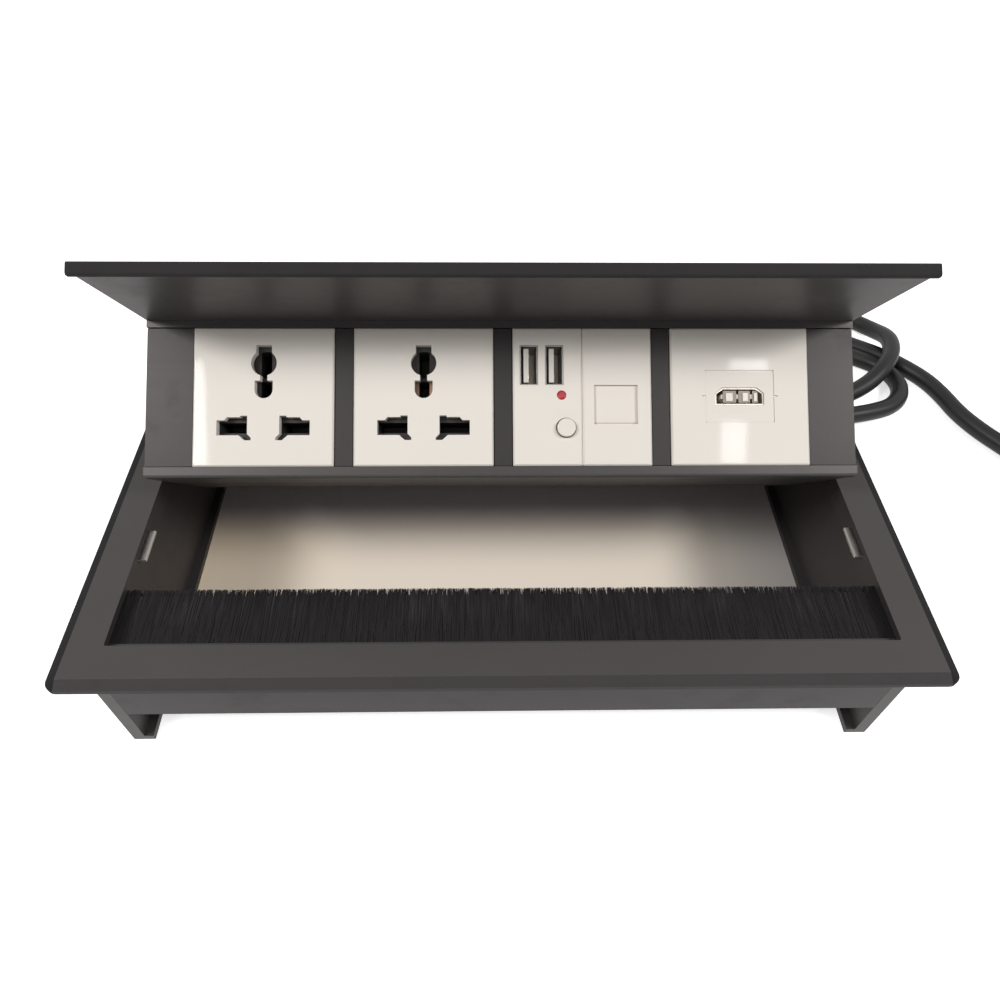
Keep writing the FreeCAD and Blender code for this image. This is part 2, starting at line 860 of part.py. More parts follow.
def make_data_face():
    face = module_face(seam_gap - fit_gap, module_size / 2)
    x_low, x_high, z_low, z_high = window
    face = face.cut(block(x_low, x_high, -face_proud - 1, face_back + 1, z_low, z_high))
    margin = shutter_overlap + fit_gap
    channel = block(x_low - margin, x_high + margin, shutter_front - fit_gap, face_back + 1,
                    z_low - margin, z_high + margin + shutter_travel + fit_gap)
    return face.cut(channel)


def make_data_shutter():
    x_low, x_high, z_low, z_high = window
    edge = shutter_overlap
    plate = block(x_low - edge, x_high + edge, shutter_front, shutter_front + shutter_thickness,
                  z_low - edge, z_high + edge)
    # A finger groove runs along the lower edge of the window.
    groove = block(x_low, x_high, shutter_front - 1, shutter_front + 0.5, z_low, z_low + 0.6)
    return plate.cut(groove)


def make_data_jack():
    x_low, x_high, z_low, z_high = window
    centre_x = (x_low + x_high) / 2
    centre_z = (z_low + z_high) / 2
    housing = block(x_low - 0.2, x_high + 0.2, face_back, body_back - 4, z_low - 3.0, z_high + 1.5)
    guide_top = z_high + shutter_overlap + shutter_travel
    guide = block(x_low - 1.8, x_high + 1.8, face_back, face_back + 1.2, z_low - 3.0, guide_top + 0.5)
    # The pad fills the face's channel up to the back of the shutter.
    pad_edge = shutter_overlap - 0.1
    pad = block(x_low - pad_edge, x_high + pad_edge, jack_front, face_back, z_low - pad_edge, guide_top)
    jack = joined([housing, guide, pad])
    half_x = jack_cavity[0] / 2
    half_z = jack_cavity[1] / 2
    cavity = block(centre_x - half_x, centre_x + half_x, jack_front - 1, jack_front + 14,
                   centre_z - half_z, centre_z + half_z)
    latch = block(centre_x - 3.0, centre_x + 3.0, jack_front - 1, jack_front + 14,
                  centre_z - half_z - 1.6, centre_z)
    return jack.cut(cavity).cut(latch)


def make_jack_contacts():
    contacts = []
    x_low, x_high, z_low, z_high = window
    centre_x = (x_low + x_high) / 2
    top = (z_low + z_high) / 2 + jack_cavity[1] / 2
    for place in range(8):
        x = centre_x + (place - 3.5) * 1.02
        contacts.append(block(x - 0.22, x + 0.22, jack_front + 4.0, jack_front + 14.0, top - 0.9, top))
    return contacts


def make_data_case():
    return half_case()


# Video outlet

insert_size = (22.2, 16.9)
video_width_low = 15.9
video_width_high = 11.4
video_height = 5.7
insert_recess = 0.25
video_shell_wall = 0.4
video_shell_depth = 12.0
video_case_width = 25.0
video_case_height = 19.0


def make_video_face():
    half = module_size / 2
    half_x = insert_size[0] / 2 + seam_gap
    half_z = insert_size[1] / 2 + seam_gap
    face = module_face(-half, half)
    face = face.cut(block(-half_x, half_x, -face_proud - 1, face_back + 1, -half_z, half_z))
    for side in (-1, 1):
        tick_low, tick_high = sorted((side * (half_x - 0.5), side * (half_x + 1.2)))
        face = face.cut(block(tick_low, tick_high, -face_proud - 1, -face_proud + 0.5, -0.25, 0.25))
    return face


def video_outline(shrink):
    low = video_width_low / 2 - shrink
    high = video_width_high / 2 - shrink
    half = video_height / 2 - shrink
    return [(-low, half), (-low, -half * 0.35), (-high, -half), (high, -half), (low, -half * 0.35), (low, half)]


def make_video_insert():
    half_x = insert_size[0] / 2
    half_z = insert_size[1] / 2
    front = -face_proud + insert_recess
    insert = rounded_slab("xz", -half_x, half_x, -half_z, half_z, 0.5, front, face_back)
    return insert.cut(prism("xz", video_flipped(0.0), front - 1, face_back + 1))


def video_flipped(shrink):
    return [(x, -z) for x, z in video_outline(shrink)]


def make_video_shell():
    front = -face_proud + insert_recess + 0.5
    back = front + video_shell_depth
    outer = prism("xz", video_flipped(fit_gap), front, back)
    inner = prism("xz", video_flipped(fit_gap + video_shell_wall), front - 1, back - video_shell_wall)
    return outer.cut(inner)


def make_video_tongue():
    back = -face_proud + insert_recess + 0.5 + video_shell_depth - video_shell_wall
    return block(-5.6, 5.6, back - 10.8, back, -0.6, 0.8)


def make_video_coupler():
    half_x = video_case_width / 2
    half_z = video_case_height / 2
    case = block(-half_x, half_x, face_back, body_back, -half_z, half_z)
    pocket = prism("xz", video_flipped(0.0), face_back - 1, -face_proud + insert_recess + 0.5 + video_shell_depth)
    return case.cut(pocket)


# Wiring inside the box, drawn about the hinge axis

grommet_radius = 6.5
grommet_bore = 4.2
wire_radius = 1.4


def grommet_centre():
    return (gland_x - 12.0, strip_middle - 6.0)


def make_lead_grommet():
    centre = grommet_centre()
    back = box_rear - shell_wall
    body = rod("y", centre, grommet_radius, back, box_rear)
    rims = [rod("y", centre, grommet_radius + 1.6, back - 1.4, back),
            rod("y", centre, grommet_radius + 1.6, box_rear, box_rear + 1.4)]
    bore = rod("y", centre, grommet_bore, back - 3, box_rear + 3)
    return joined([body] + rims).cut(bore)


terminal_width = 30.0
terminal_depth = 12.0
terminal_height = 13.0


def terminal_box():
    high_x = grommet_centre()[0] - 14.0
    back = box_rear - shell_wall
    low_z = box_bottom + shell_wall + 12.0
    return (high_x - terminal_width, high_x, back - terminal_depth, back, low_z, low_z + terminal_height)


def make_terminal_block():
    x_low, x_high, y_low, y_high, z_low, z_high = terminal_box()
    body = block(x_low, x_high, y_low, y_high, z_low, z_high)
    for place in range(3):
        x = x_low + terminal_width * (place + 0.5) / 3
        middle_z = (z_low + z_high) / 2
        body = body.cut(rod("y", (x, middle_z + 3.0), 2.4, y_low - 1, y_low + 6.0))
        body = body.cut(rod("y", (x, middle_z - 3.2), wire_radius + 0.6, y_low - 1, y_low + 8.0))
    return body


def make_terminal_screws():
    x_low, x_high, y_low, y_high, z_low, z_high = terminal_box()
    screws = []
    for place in range(3):
        x = x_low + terminal_width * (place + 0.5) / 3
        screw = rod("y", (x, (z_low + z_high) / 2 + 3.0), 2.3, y_low + 1.2, y_low + 6.0)
        screws.append(screw)
    return screws


def arc_radius(before, corner, after):
    into = corner - before
    out = after - corner
    turn = into.getAngle(out)
    shorter = min(into.Length, out.Length)
    return 0.45 * shorter / math.tan(turn / 2)


def run_and_arc_path(points):
    # Straight runs joined by tangent arcs, each as large as its two runs allow.
    edges = []
    radii = []
    last = points[0]
    for before, corner, after in zip(points[:-2], points[1:-1], points[2:]):
        into = (corner - before).normalize()
        out = (after - corner).normalize()
        turn = into.getAngle(out)
        reach = 0.45 * min((corner - before).Length, (after - corner).Length)
        start = corner - into * reach
        end = corner + out * reach
        inward = (out - into).normalize()
        radius = arc_radius(before, corner, after)
        middle = corner + inward * (radius / math.cos(turn / 2) - radius)
        edges.append(Part.LineSegment(last, start).toShape())
        edges.append(Part.Arc(start, middle, end).toShape())
        radii.append(radius)
        last = end
    edges.append(Part.LineSegment(last, points[-1]).toShape())
    return Part.Wire(edges), radii


def tube_along(path, start, direction, radius):
    section = Part.Wire([Part.makeCircle(radius, start, direction)])
    return path.makePipeShell([section], True, False)


def make_inner_wires(place):
    # One insulated wire from a terminal past the backs of the two mains sockets.
    x_low, x_high, y_low, y_high, z_low, z_high = terminal_box()
    x = x_low + terminal_width * (place + 0.5) / 3
    entry_z = (z_low + z_high) / 2 - 3.2
    level = entry_z + place * 5.0
    behind = y_low - 4.0 - place * 3.4
    first_socket = module_centres[0] - 10.0
    points = [
        Vector(x, y_low + 4.0, entry_z),
        Vector(x, behind, entry_z),
        Vector(x - 14.0, behind - 1.0, level),
        Vector(module_centres[1] + 18.0, behind, level),
        Vector(first_socket + 16.0, behind + 0.6, level),
        Vector(first_socket, behind, level),
        Vector(first_socket, -panel_to_pivot + body_back, level),
    ]
    path, radii = run_and_arc_path(points)
    return tube_along(path, points[0], Vector(0, -1, 0), wire_radius)


# Mains inlet in the rear wall

def make_cable_gland():
    centre = (gland_x, gland_height)
    inner_face = wall_rear - wall_thickness
    body = rod("y", centre, gland_radius, inner_face - 7.0, wall_rear)
    flange = rod("y", centre, gland_flange_radius, wall_rear, wall_rear + gland_flange_thickness)
    cap = hexagon(centre, gland_hex_width, wall_rear + gland_flange_thickness,
                  wall_rear + gland_flange_thickness + gland_hex_length)
    bore = rod("y", centre, cord_radius, inner_face - 9.0, wall_rear + 20.0)
    return joined([body, flange, cap]).cut(bore)


def hexagon(centre, width, low, high):
    corner = width / math.sqrt(3)
    ring = []
    for turn in range(6):
        angle = math.radians(60 * turn + 30)
        ring.append((centre[0] + corner * math.cos(angle), centre[1] + corner * math.sin(angle)))
    return prism("xz", ring, low, high)


def make_gland_nut():
    centre = (gland_x, gland_height)
    inner_face = wall_rear - wall_thickness
    nut = hexagon(centre, gland_hex_width + 2.0, inner_face - 4.0, inner_face)
    return nut.cut(rod("y", centre, gland_radius, inner_face - 5.0, inner_face + 1.0))


def boot_start():
    return wall_rear + gland_flange_thickness + gland_hex_length


def make_cord_boot():
    start = boot_start()
    end = start + boot_length
    centre = (gland_x, gland_height)
    boot = cone("y", centre, boot_base_radius, boot_tip_radius, start, end)
    for place in range(4):
        low = start + 7.0 + place * 5.2
        groove = rod("y", centre, boot_base_radius + 1, low, low + 1.6)
        boot = boot.cut(groove.cut(rod("y", centre, cord_radius + 1.0, low - 1, low + 3)))
    return boot.cut(rod("y", centre, cord_radius, start - 1, end + 1))


def make_inlet_cord():
    # The cord inside the boot and the gland, up to where its wires leave the sheath.
    return rod("y", (gland_x, gland_height), cord_radius, wall_rear - wall_thickness - 10.0, boot_start() + boot_length)


# The free cord on the table

floor_level = cord_radius + cord_lift


def cord_route():
    out = boot_start() + boot_length
    low = floor_level
    return [
        Vector(gland_x, out, gland_height),
        Vector(gland_x, out + 14.0, gland_height),
        Vector(gland_x + 1.5, out + 30.0, 14.5),
        Vector(102.0, 156.0, 6.0),
        Vector(115.0, 171.0, low),
        Vector(133.0, 178.0, low),
        Vector(154.0, 176.0, low),
        Vector(173.0, 168.0, low),
        Vector(187.5, 155.5, low),
        Vector(197.0, 141.5, 6.5),
        Vector(199.0, 127.5, 12.4),
        Vector(195.5, 115.0, 13.6),
        Vector(188.0, 104.0, 13.4),
        Vector(178.5, 95.5, 9.5),
        Vector(163.5, 90.0, 5.0),
        Vector(143.5, 87.0, low),
        Vector(125.0, 94.5, low),
        Vector(116.0, 111.5, low),
        Vector(121.5, 129.0, low),
        Vector(139.5, 137.0, low),
        Vector(159.5, 135.3, low),
        Vector(181.5, 122.6, low),
        Vector(194.5, 113.5, low),
        Vector(198.5, 99.5, low),
        Vector(190.5, 86.5, low),
        Vector(175.5, 81.5, low),
        Vector(158.0, 78.6, low),
        Vector(138.5, 77.0, low),
        Vector(119.5, 82.0, low),
        Vector(107.0, 95.5, low),
        Vector(103.8, 114.0, low),
        Vector(110.5, 131.5, low),
        Vector(126.5, 144.5, low),
        Vector(147.0, 148.8, low),
        Vector(167.0, 143.5, low),
        Vector(183.0, 131.8, low),
        Vector(196.5, 123.4, low),
        Vector(206.5, 112.5, low),
        Vector(212.3, 104.0, low),
        Vector(216.0, 93.5, low),
        Vector(218.3, 81.5, low),
        Vector(224.0, 69.0, low),
        Vector(232.0, 57.5, low),
        Vector(240.0, 44.5, low),
    ]


def coil_heading():
    last = cord_route()[-2:]
    return (last[1] - last[0]).normalize()


def coil_centre():
    heading = coil_heading()
    inward = Vector(-heading.y, heading.x, 0)
    start = cord_route()[-1] + heading * (2 * cord_radius)
    return start + inward * coil_radius


def coil_joints():
    # The points half a turn apart where the arcs of the coil meet, with the heading at each.
    heading = coil_heading()
    outward = Vector(heading.y, -heading.x, 0)
    centre = coil_centre()
    joints = []
    side = 1
    radius = coil_radius
    level = floor_level
    for step in range(2 * coil_half_turns + 2):
        spot = centre + outward * (side * radius)
        joints.append((Vector(spot.x, spot.y, level), heading * side))
        side = -side
        if step < coil_half_turns:
            radius -= coil_pitch / 2
        elif step == coil_half_turns:
            level += coil_pitch
        else:
            radius += coil_pitch / 2
    return joints


def tangent_arc(start, heading, end):
    chord = end - start
    across = heading - chord * (heading.dot(chord) / chord.dot(chord))
    rise = chord.Length / 2 * math.tan(heading.getAngle(chord) / 2)
    middle = start + chord * 0.5 + across.normalize() * rise
    return Part.Arc(start, middle, end).toShape()


def biarc(start, start_heading, end, end_heading):
    # Two arcs that leave along one heading and arrive along the other, half a turn later.
    reach = (end - start).Length / 2
    joint = (start + start_heading * reach + end - end_heading * reach) * 0.5
    through = (end - end_heading * reach - start - start_heading * reach).normalize()
    return [tangent_arc(start, start_heading, joint), tangent_arc(joint, through, end)]


def coil_path():
    joints = coil_joints()
    heading = coil_heading()
    edges = [Part.LineSegment(cord_route()[-1], joints[0][0]).toShape()]
    for (start, start_heading), (end, end_heading) in zip(joints[:-1], joints[1:]):
        edges += biarc(start, start_heading, end, end_heading)
    last, last_heading = joints[-1]
    edges.append(Part.LineSegment(last, last + last_heading * (2 * cord_radius)).toShape())
    return Part.Wire(edges)


def coil_exit():
    last, last_heading = coil_joints()[-1]
    return last + last_heading * (2 * cord_radius), last_heading


def tail_route():
    start, heading = coil_exit()
    lean = Vector(heading.y, -heading.x, 0)
    height = plug_height / 2
    first = start + heading * 11.0
    second = start + heading * 23.0 + lean * 5.0
    third = start + heading * 32.0 + lean * 13.0
    return [start, first, Vector(second.x, second.y, height), Vector(third.x, third.y, height)]


def least_gap(path):
    # The least distance between the surfaces of turns that aren't next to each other along the path.
    step = 3.0
    count = int(path.Length / step)
    spots = path.discretize(Number=count)
    spacing = path.Length / (count - 1)
    apart = int(6 * cord_radius / spacing)
    least = min(
        spots[first].distanceToPoint(spots[second])
        for first in range(count)
        for second in range(first + apart, count)
    )
    return least - 2 * cord_radius


def report_tube(name, path, solid):
    section = math.pi * cord_radius ** 2
    print(name, "length", round(path.Length, 1), "volume over section times length",
          round(solid.Volume / (section * path.Length), 4), "least gap to itself", round(least_gap(path), 2))


# Plug, drawn from its cord entry, with y along the cord and the pins up

def plug_place(shape):
    route = tail_route()
    heading = route[-1] - route[-2]
    angle = math.degrees(math.atan2(heading.y, heading.x)) - 90
    end = route[-1]
    copy = shape.copy()
    copy.Placement = Placement(Vector(end.x, end.y, 0), Rotation(Vector(0, 0, 1), angle)).multiply(copy.Placement)
    return copy


def make_plug_relief():
    height = plug_height / 2
    relief = cone("y", (0, height), relief_tip_radius, relief_base_radius, 0, relief_length)
    return plug_place(relief.cut(rod("y", (0, height), cord_radius, -1, relief_length - 6.0)))


def make_plug_core():
    return plug_place(rod("y", (0, plug_height / 2), cord_radius, 0, relief_length - 6.0))


def pin_places():
    # Centre, width across, length along the cord, and height above the face of each pin.
    base = relief_length
    earth = (0.0, base + plug_length - 12.5, 4.0, 8.0, 22.7)
    line = (11.1, base + plug_length - 12.5 - 22.2, 6.35, 4.0, 17.7)
    neutral = (-11.1, line[1], 6.35, 4.0, 17.7)
    return [earth, line, neutral]


def make_plug_body():
    base = relief_length
    half = plug_width / 2
    body = rounded_slab("xy", -half, half, base, base + plug_length, plug_corner_radius, 0, plug_height)
    rims = [edge for edge in body.Edges if edge.BoundBox.ZLength < 0.01]
    body = body.makeFillet(1.8, rims)
    for x, y, width, length, height in pin_places():
        pocket = block(x - width / 2, x + width / 2, y - length / 2, y + length / 2, plug_height - 6, plug_height + 1)
        body = body.cut(pocket)
    return plug_place(body)


def make_plug_pins():
    pins = []
    for x, y, width, length, height in pin_places():
        pin = block(x - width / 2, x + width / 2, y - length / 2, y + length / 2,
                    plug_height - 6, plug_height + height)
        top = [edge for edge in pin.Edges if edge.BoundBox.ZMin > plug_height + height - 0.01]
        pins.append(plug_place(pin.makeChamfer(0.7, top)))
    return pins


def main():
    os.makedirs("parts", exist_ok=True)

    save("frame", [make_frame()])
    save("front_wall", [make_front_wall()])
    save("rear_wall", [make_rear_wall()])
    save("side_plate_right", [make_side_plate()])
    save("side_plate_left", [mirrored(make_side_plate())])
    save("wall_screws", make_wall_screws())
    save("brush_holder", [make_brush_holder()])
    save("brush_bristles", [make_brush_bristles()])
    save("lid_rests", [make_lid_rest(), mirrored(make_lid_rest())])
    save("rest_rivets", make_rest_rivets())
    save("pivot_bushes", [make_pivot_bush(), mirrored(make_pivot_bush())])
    save("stop_pins", [make_stop_pin(), mirrored(make_stop_pin())])
    save("cable_gland", [make_cable_gland()])
    save("gland_nut", [make_gland_nut()])

    screw = placed_at_pivot(make_pivot_screw())
    save("pivot_screws", [screw, mirrored(screw)])
    insert = placed_at_pivot(make_hinge_insert())
    save("hinge_inserts", [insert, mirrored(insert)])
    disc = placed_at_pivot(make_friction_disc())
    save("friction_discs", [disc, mirrored(disc)])

    save("lid_plate", [open_lid(make_lid_plate())])
    save("box_shell", [open_lid(make_box_shell())])
    save("end_caps", [open_lid(make_end_cap()), open_lid(mirrored(make_end_cap()))])
    save("cap_screws", [open_lid(screw) for screw in make_cap_screws()])
    save("plate_screws", [open_lid(screw) for screw in make_plate_screws()])
    save("end_blocks", [on_panel(make_end_block()), on_panel(mirrored(make_end_block()))])
    save("module_dividers", [on_panel(divider) for divider in make_module_dividers()])

    contacts = []
    for number, centre in enumerate(module_centres[:2], 1):
        save("socket_face_" + str(number), [on_panel(make_socket_face(), centre)])
        save("socket_body_" + str(number), [on_panel(make_socket_body(), centre)])
        contacts += [on_panel(contact, centre) for contact in make_socket_contacts()]
    save("socket_contacts", contacts)

    centre = module_centres[2]
    save("usb_face", [on_panel(make_usb_face(), centre)])
    save("usb_shells", [on_panel(shell, centre) for shell in make_usb_shells()])
    save("usb_tongues", [on_panel(tongue, centre) for tongue in make_usb_tongues()])
    save("led_lens", [on_panel(make_led_lens(), centre)])
    save("usb_button", [on_panel(make_usb_button(), centre)])
    save("button_switch", [on_panel(make_button_switch(), centre)])
    save("charger_board", [on_panel(make_charger_board(), centre)])
    save("charger_parts", [on_panel(piece, centre) for piece in make_charger_parts()])
    save("charger_case", [on_panel(make_charger_case(), centre)])
    save("data_face", [on_panel(make_data_face(), centre)])
    save("data_shutter", [on_panel(make_data_shutter(), centre)])
    save("data_jack", [on_panel(make_data_jack(), centre)])
    save("jack_contacts", [on_panel(contact, centre) for contact in make_jack_contacts()])
    save("data_case", [on_panel(make_data_case(), centre)])

    centre = module_centres[3]
    save("video_face", [on_panel(make_video_face(), centre)])
    save("video_insert", [on_panel(make_video_insert(), centre)])
    save("video_shell", [on_panel(make_video_shell(), centre)])
    save("video_tongue", [on_panel(make_video_tongue(), centre)])
    save("video_coupler", [on_panel(make_video_coupler(), centre)])

    save("lead_grommet", [open_lid(make_lead_grommet())])
    save("terminal_block", [open_lid(make_terminal_block())])
    save("terminal_screws", [open_lid(screw) for screw in make_terminal_screws()])
    save("inner_wires", [open_lid(make_inner_wires(place)) for place in range(3)])

    route = cord_route()
    path, radii = run_and_arc_path(route)
    print("arc radii", [round(radius, 1) for radius in radii])
    cord = tube_along(path, route[0], route[1] - route[0], cord_radius)
    report_tube("power_cord", path, cord)
    save("power_cord", [cord])
    coil = coil_path()
    coil_tube = tube_along(coil, route[-1], coil_heading(), cord_radius)
    report_tube("cord_coil", coil, coil_tube)
    save("cord_coil", [coil_tube])
    tail = tail_route()
    tail_path, tail_radii = run_and_arc_path(tail)
    print("tail radii", [round(radius, 1) for radius in tail_radii])
    tail_tube = tube_along(tail_path, tail[0], tail[1] - tail[0], cord_radius)
    report_tube("cord_tail", tail_path, tail_tube)
    save("cord_tail", [tail_tube])
    save("cord_boot", [make_cord_boot()])
    save("inlet_cord", [make_inlet_cord()])
    save("plug_relief", [make_plug_relief()])
    save("plug_body", [make_plug_body()])
    save("plug_pins", make_plug_pins())


main()
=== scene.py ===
import json
import math
import random

import bmesh
import bpy
from mathutils import Matrix, Vector


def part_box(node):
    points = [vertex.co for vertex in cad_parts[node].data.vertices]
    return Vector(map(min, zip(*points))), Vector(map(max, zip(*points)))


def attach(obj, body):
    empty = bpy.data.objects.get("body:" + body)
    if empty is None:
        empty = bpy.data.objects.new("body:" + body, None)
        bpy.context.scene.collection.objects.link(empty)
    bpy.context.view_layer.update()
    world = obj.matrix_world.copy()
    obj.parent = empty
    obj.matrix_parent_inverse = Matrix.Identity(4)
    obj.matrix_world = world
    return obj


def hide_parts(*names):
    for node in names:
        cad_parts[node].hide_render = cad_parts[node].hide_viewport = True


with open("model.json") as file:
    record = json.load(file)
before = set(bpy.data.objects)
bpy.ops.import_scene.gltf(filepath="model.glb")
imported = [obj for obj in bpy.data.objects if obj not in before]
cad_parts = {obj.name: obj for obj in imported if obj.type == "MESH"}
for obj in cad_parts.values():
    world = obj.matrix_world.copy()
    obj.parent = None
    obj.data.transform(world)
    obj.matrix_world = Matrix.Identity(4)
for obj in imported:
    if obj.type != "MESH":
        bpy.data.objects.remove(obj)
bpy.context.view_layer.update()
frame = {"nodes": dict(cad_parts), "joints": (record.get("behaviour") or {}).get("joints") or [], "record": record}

nodes = frame["nodes"]
scene = bpy.context.scene
mm = 0.001


# Places in millimetres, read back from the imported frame

def nodeBox(name):
    low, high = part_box(name)
    return low / mm, high / mm


lidHinge = next(joint for joint in frame["joints"] if joint["name"] == "lid_hinge")
pivot = Vector(lidHinge["pos_m"]) / mm
closing = math.radians(lidHinge["range_deg"][1])
panelRight = Vector((1, 0, 0))
panelIn = Vector((0, math.cos(closing), -math.sin(closing)))
panelUp = Vector((0, math.sin(closing), math.cos(closing)))
# the strip of outlets: how far before and under the hinge its middle lies, and from outlet to outlet
strip = {"toPivot": 63.4, "middle": -20.8, "step": 51.1}
stripOrigin = pivot - panelIn * strip["toPivot"] + panelUp * strip["middle"]
frameHigh = nodeBox("frame")[1]
moduleCentres = [(place - 1.5) * strip["step"] for place in range(4)]


def onPanel(x, depth, height):
    # a point of the strip of outlets: x right, depth into the box, height up the face
    return stripOrigin + panelRight * x + panelIn * depth + panelUp * height


# Camera first, fitted to the straight edges in the photograph

camera = {
    "place": (-7.9, -178.85, 255.0),
    "pitch": 48.8,      # degrees, downward
    "yaw": 1.7,
    "roll": -1.1,
    "lens": 27.76,
    "sensor": 36,
    "shift": (0.0061, -0.0207),
}


def makeCamera():
    pitch, yaw, roll = (math.radians(camera[turn]) for turn in ("pitch", "yaw", "roll"))
    forward = Vector((math.sin(yaw) * math.cos(pitch), math.cos(yaw) * math.cos(pitch), -math.sin(pitch)))
    level = Vector((math.cos(yaw), -math.sin(yaw), 0))
    down = forward.cross(level)
    right = level * math.cos(roll) + down * math.sin(roll)
    up = level * math.sin(roll) - down * math.cos(roll)
    lens = bpy.data.cameras.new("camera")
    lens.sensor_width = camera["sensor"]
    lens.lens = camera["lens"]
    lens.shift_x, lens.shift_y = camera["shift"]
    lens.clip_start = 0.01
    item = bpy.data.objects.new("camera", lens)
    scene.collection.objects.link(item)
    item.matrix_world = Matrix((right, up, -forward)).transposed().to_4x4()
    item.location = Vector(camera["place"]) * mm
    scene.camera = item


makeCamera()
print("camera in place")


# Shader writing: a wire is one socket, and sums and products of wires add Math nodes

class Wire:
    def __init__(self, nodeTree, socket):
        self.nodeTree = nodeTree
        self.socket = socket

    def work(self, operation, *values):
        return self.nodeTree.add("ShaderNodeMath", {"operation": operation}, dict(enumerate(values)))

    def __add__(self, other):
        return self.work("ADD", self, other)

    def __sub__(self, other):
        return self.work("SUBTRACT", self, other)

    def __rsub__(self, other):
        return self.work("SUBTRACT", other, self)

    def __mul__(self, other):
        return self.work("MULTIPLY", self, other)

    def __gt__(self, other):
        return self.work("GREATER_THAN", self, other)

    def __or__(self, other):
        return self.work("MAXIMUM", self, other)

    def __abs__(self):
        return self.work("ABSOLUTE", self)

    __radd__ = __add__
    __rmul__ = __mul__
    __ror__ = __or__


class NodeTree:
    # one method makes every node, and the others say what the finishes often ask of it
    def __init__(self, tree):
        self.tree = tree

    def add(self, kind, settings=None, inputs=None, output=0):
        node = self.tree.nodes.new(kind)
        for name, value in (settings or {}).items():
            if name == "stops":
                self.setStops(node.color_ramp, value)
            else:
                setattr(node, name, value)
        for name, value in (inputs or {}).items():
            self.feed(node.inputs[name], value)
        return Wire(self, node.outputs[output])

    def setStops(self, ramp, stops):
        while len(ramp.elements) < len(stops):
            ramp.elements.new(0.5)
        for element, (place, colour) in zip(ramp.elements, stops):
            element.position = place
            element.color = colour

    def feed(self, socket, value):
        if isinstance(value, Wire):
            self.tree.links.new(value.socket, socket)
        else:
            socket.default_value = value

    def place(self):
        return self.add("ShaderNodeTexCoord", output="Object")

    def axis(self, name):
        return self.add("ShaderNodeSeparateXYZ", {}, {"Vector": self.place()}, output=name)

    def stretched(self, scale):
        return self.add("ShaderNodeMapping", {}, {"Vector": self.place(), "Scale": scale})

    def noise(self, vector, scale, detail=2.0, roughness=0.5):
        inputs = {"Vector": vector, "Scale": scale, "Detail": detail, "Roughness": roughness}
        return self.add("ShaderNodeTexNoise", {}, inputs)

    def ramp(self, value, stops):
        return self.add("ShaderNodeValToRGB", {"stops": stops}, {"Fac": value})

    def between(self, value, low, high, lowest=0.0, highest=1.0):
        inputs = {"Value": value, "From Min": low, "From Max": high, "To Min": lowest, "To Max": highest}
        return self.add("ShaderNodeMapRange", {"clamp": True}, inputs)

    def mix(self, factor, first, second):
        return self.add("ShaderNodeMix", {"data_type": "RGBA"}, {0: factor, 6: first, 7: second}, output=2)

    def bump(self, height, strength, distance):
        inputs = {"Height": height, "Strength": strength, "Distance": distance}
        return self.add("ShaderNodeBump", {}, inputs)


class Finish(NodeTree):
    # a material and the sockets of its shader
    def __init__(self, name):
        self.material = bpy.data.materials.new(name)
        self.material.use_nodes = True
        super().__init__(self.material.node_tree)
        self.shader = self.tree.nodes["Principled BSDF"]

    def set(self, **inputs):
        names = {name.replace(" ", ""): name for name in self.shader.inputs.keys()}
        for name, value in inputs.items():
            self.feed(self.shader.inputs[names[name]], value)


def shade(colour, share=1.0):
    return (*[channel * share for channel in colour], 1.0)


# Finishes

anodised = {
    "colour": (0.066, 0.0605, 0.060),
    "sheen": 0.3,
    "edgeTint": (0.6, 0.58, 0.58, 1),
    "metallic": 0.45,
    "roughness": 0.38,
    "grainSize": 0.16,      # millimetres
    "grainDepth": 0.012,
    "lineScale": (12, 900, 900),
}
# painted shade: a darker colour, and its shares, for the frame's bevel and the lid's front lip
paintedShadeEdge = {
    "colour": (0.003, 0.003, 0.004, 1),
    "share": 0.85,
    "roughness": 0.5,
    "bevelWidth": 3.0,      # millimetres, in from the frame's outline
    "bevelSides": 1.0,
    "bevelEnds": 0.58,
    "lipStart": 109.1,      # millimetres from the hinge, along the lid
    "lip": 0.86,
}


def bevelShadeMask(finish):
    # the machined bevel round the frame, painted darker as shade: full at the sides, a little over half along the
    # front and back
    sides = abs(finish.axis("X")) > (frameHigh.x - paintedShadeEdge["bevelWidth"]) * mm
    ends = abs(finish.axis("Y")) > (frameHigh.y - paintedShadeEdge["bevelWidth"]) * mm
    return sides * paintedShadeEdge["bevelSides"] | ends * paintedShadeEdge["bevelEnds"]


def frontLipShadeMask(finish):
    # the lid's front lip, painted darker as shade, from its distance to the hinge along the open plate
    before = pivot.y * mm - finish.axis("Y")
    under = pivot.z * mm - finish.axis("Z")
    away = before * panelIn.y + under * panelIn.z
    return (away > paintedShadeEdge["lipStart"] * mm) * paintedShadeEdge["lip"]


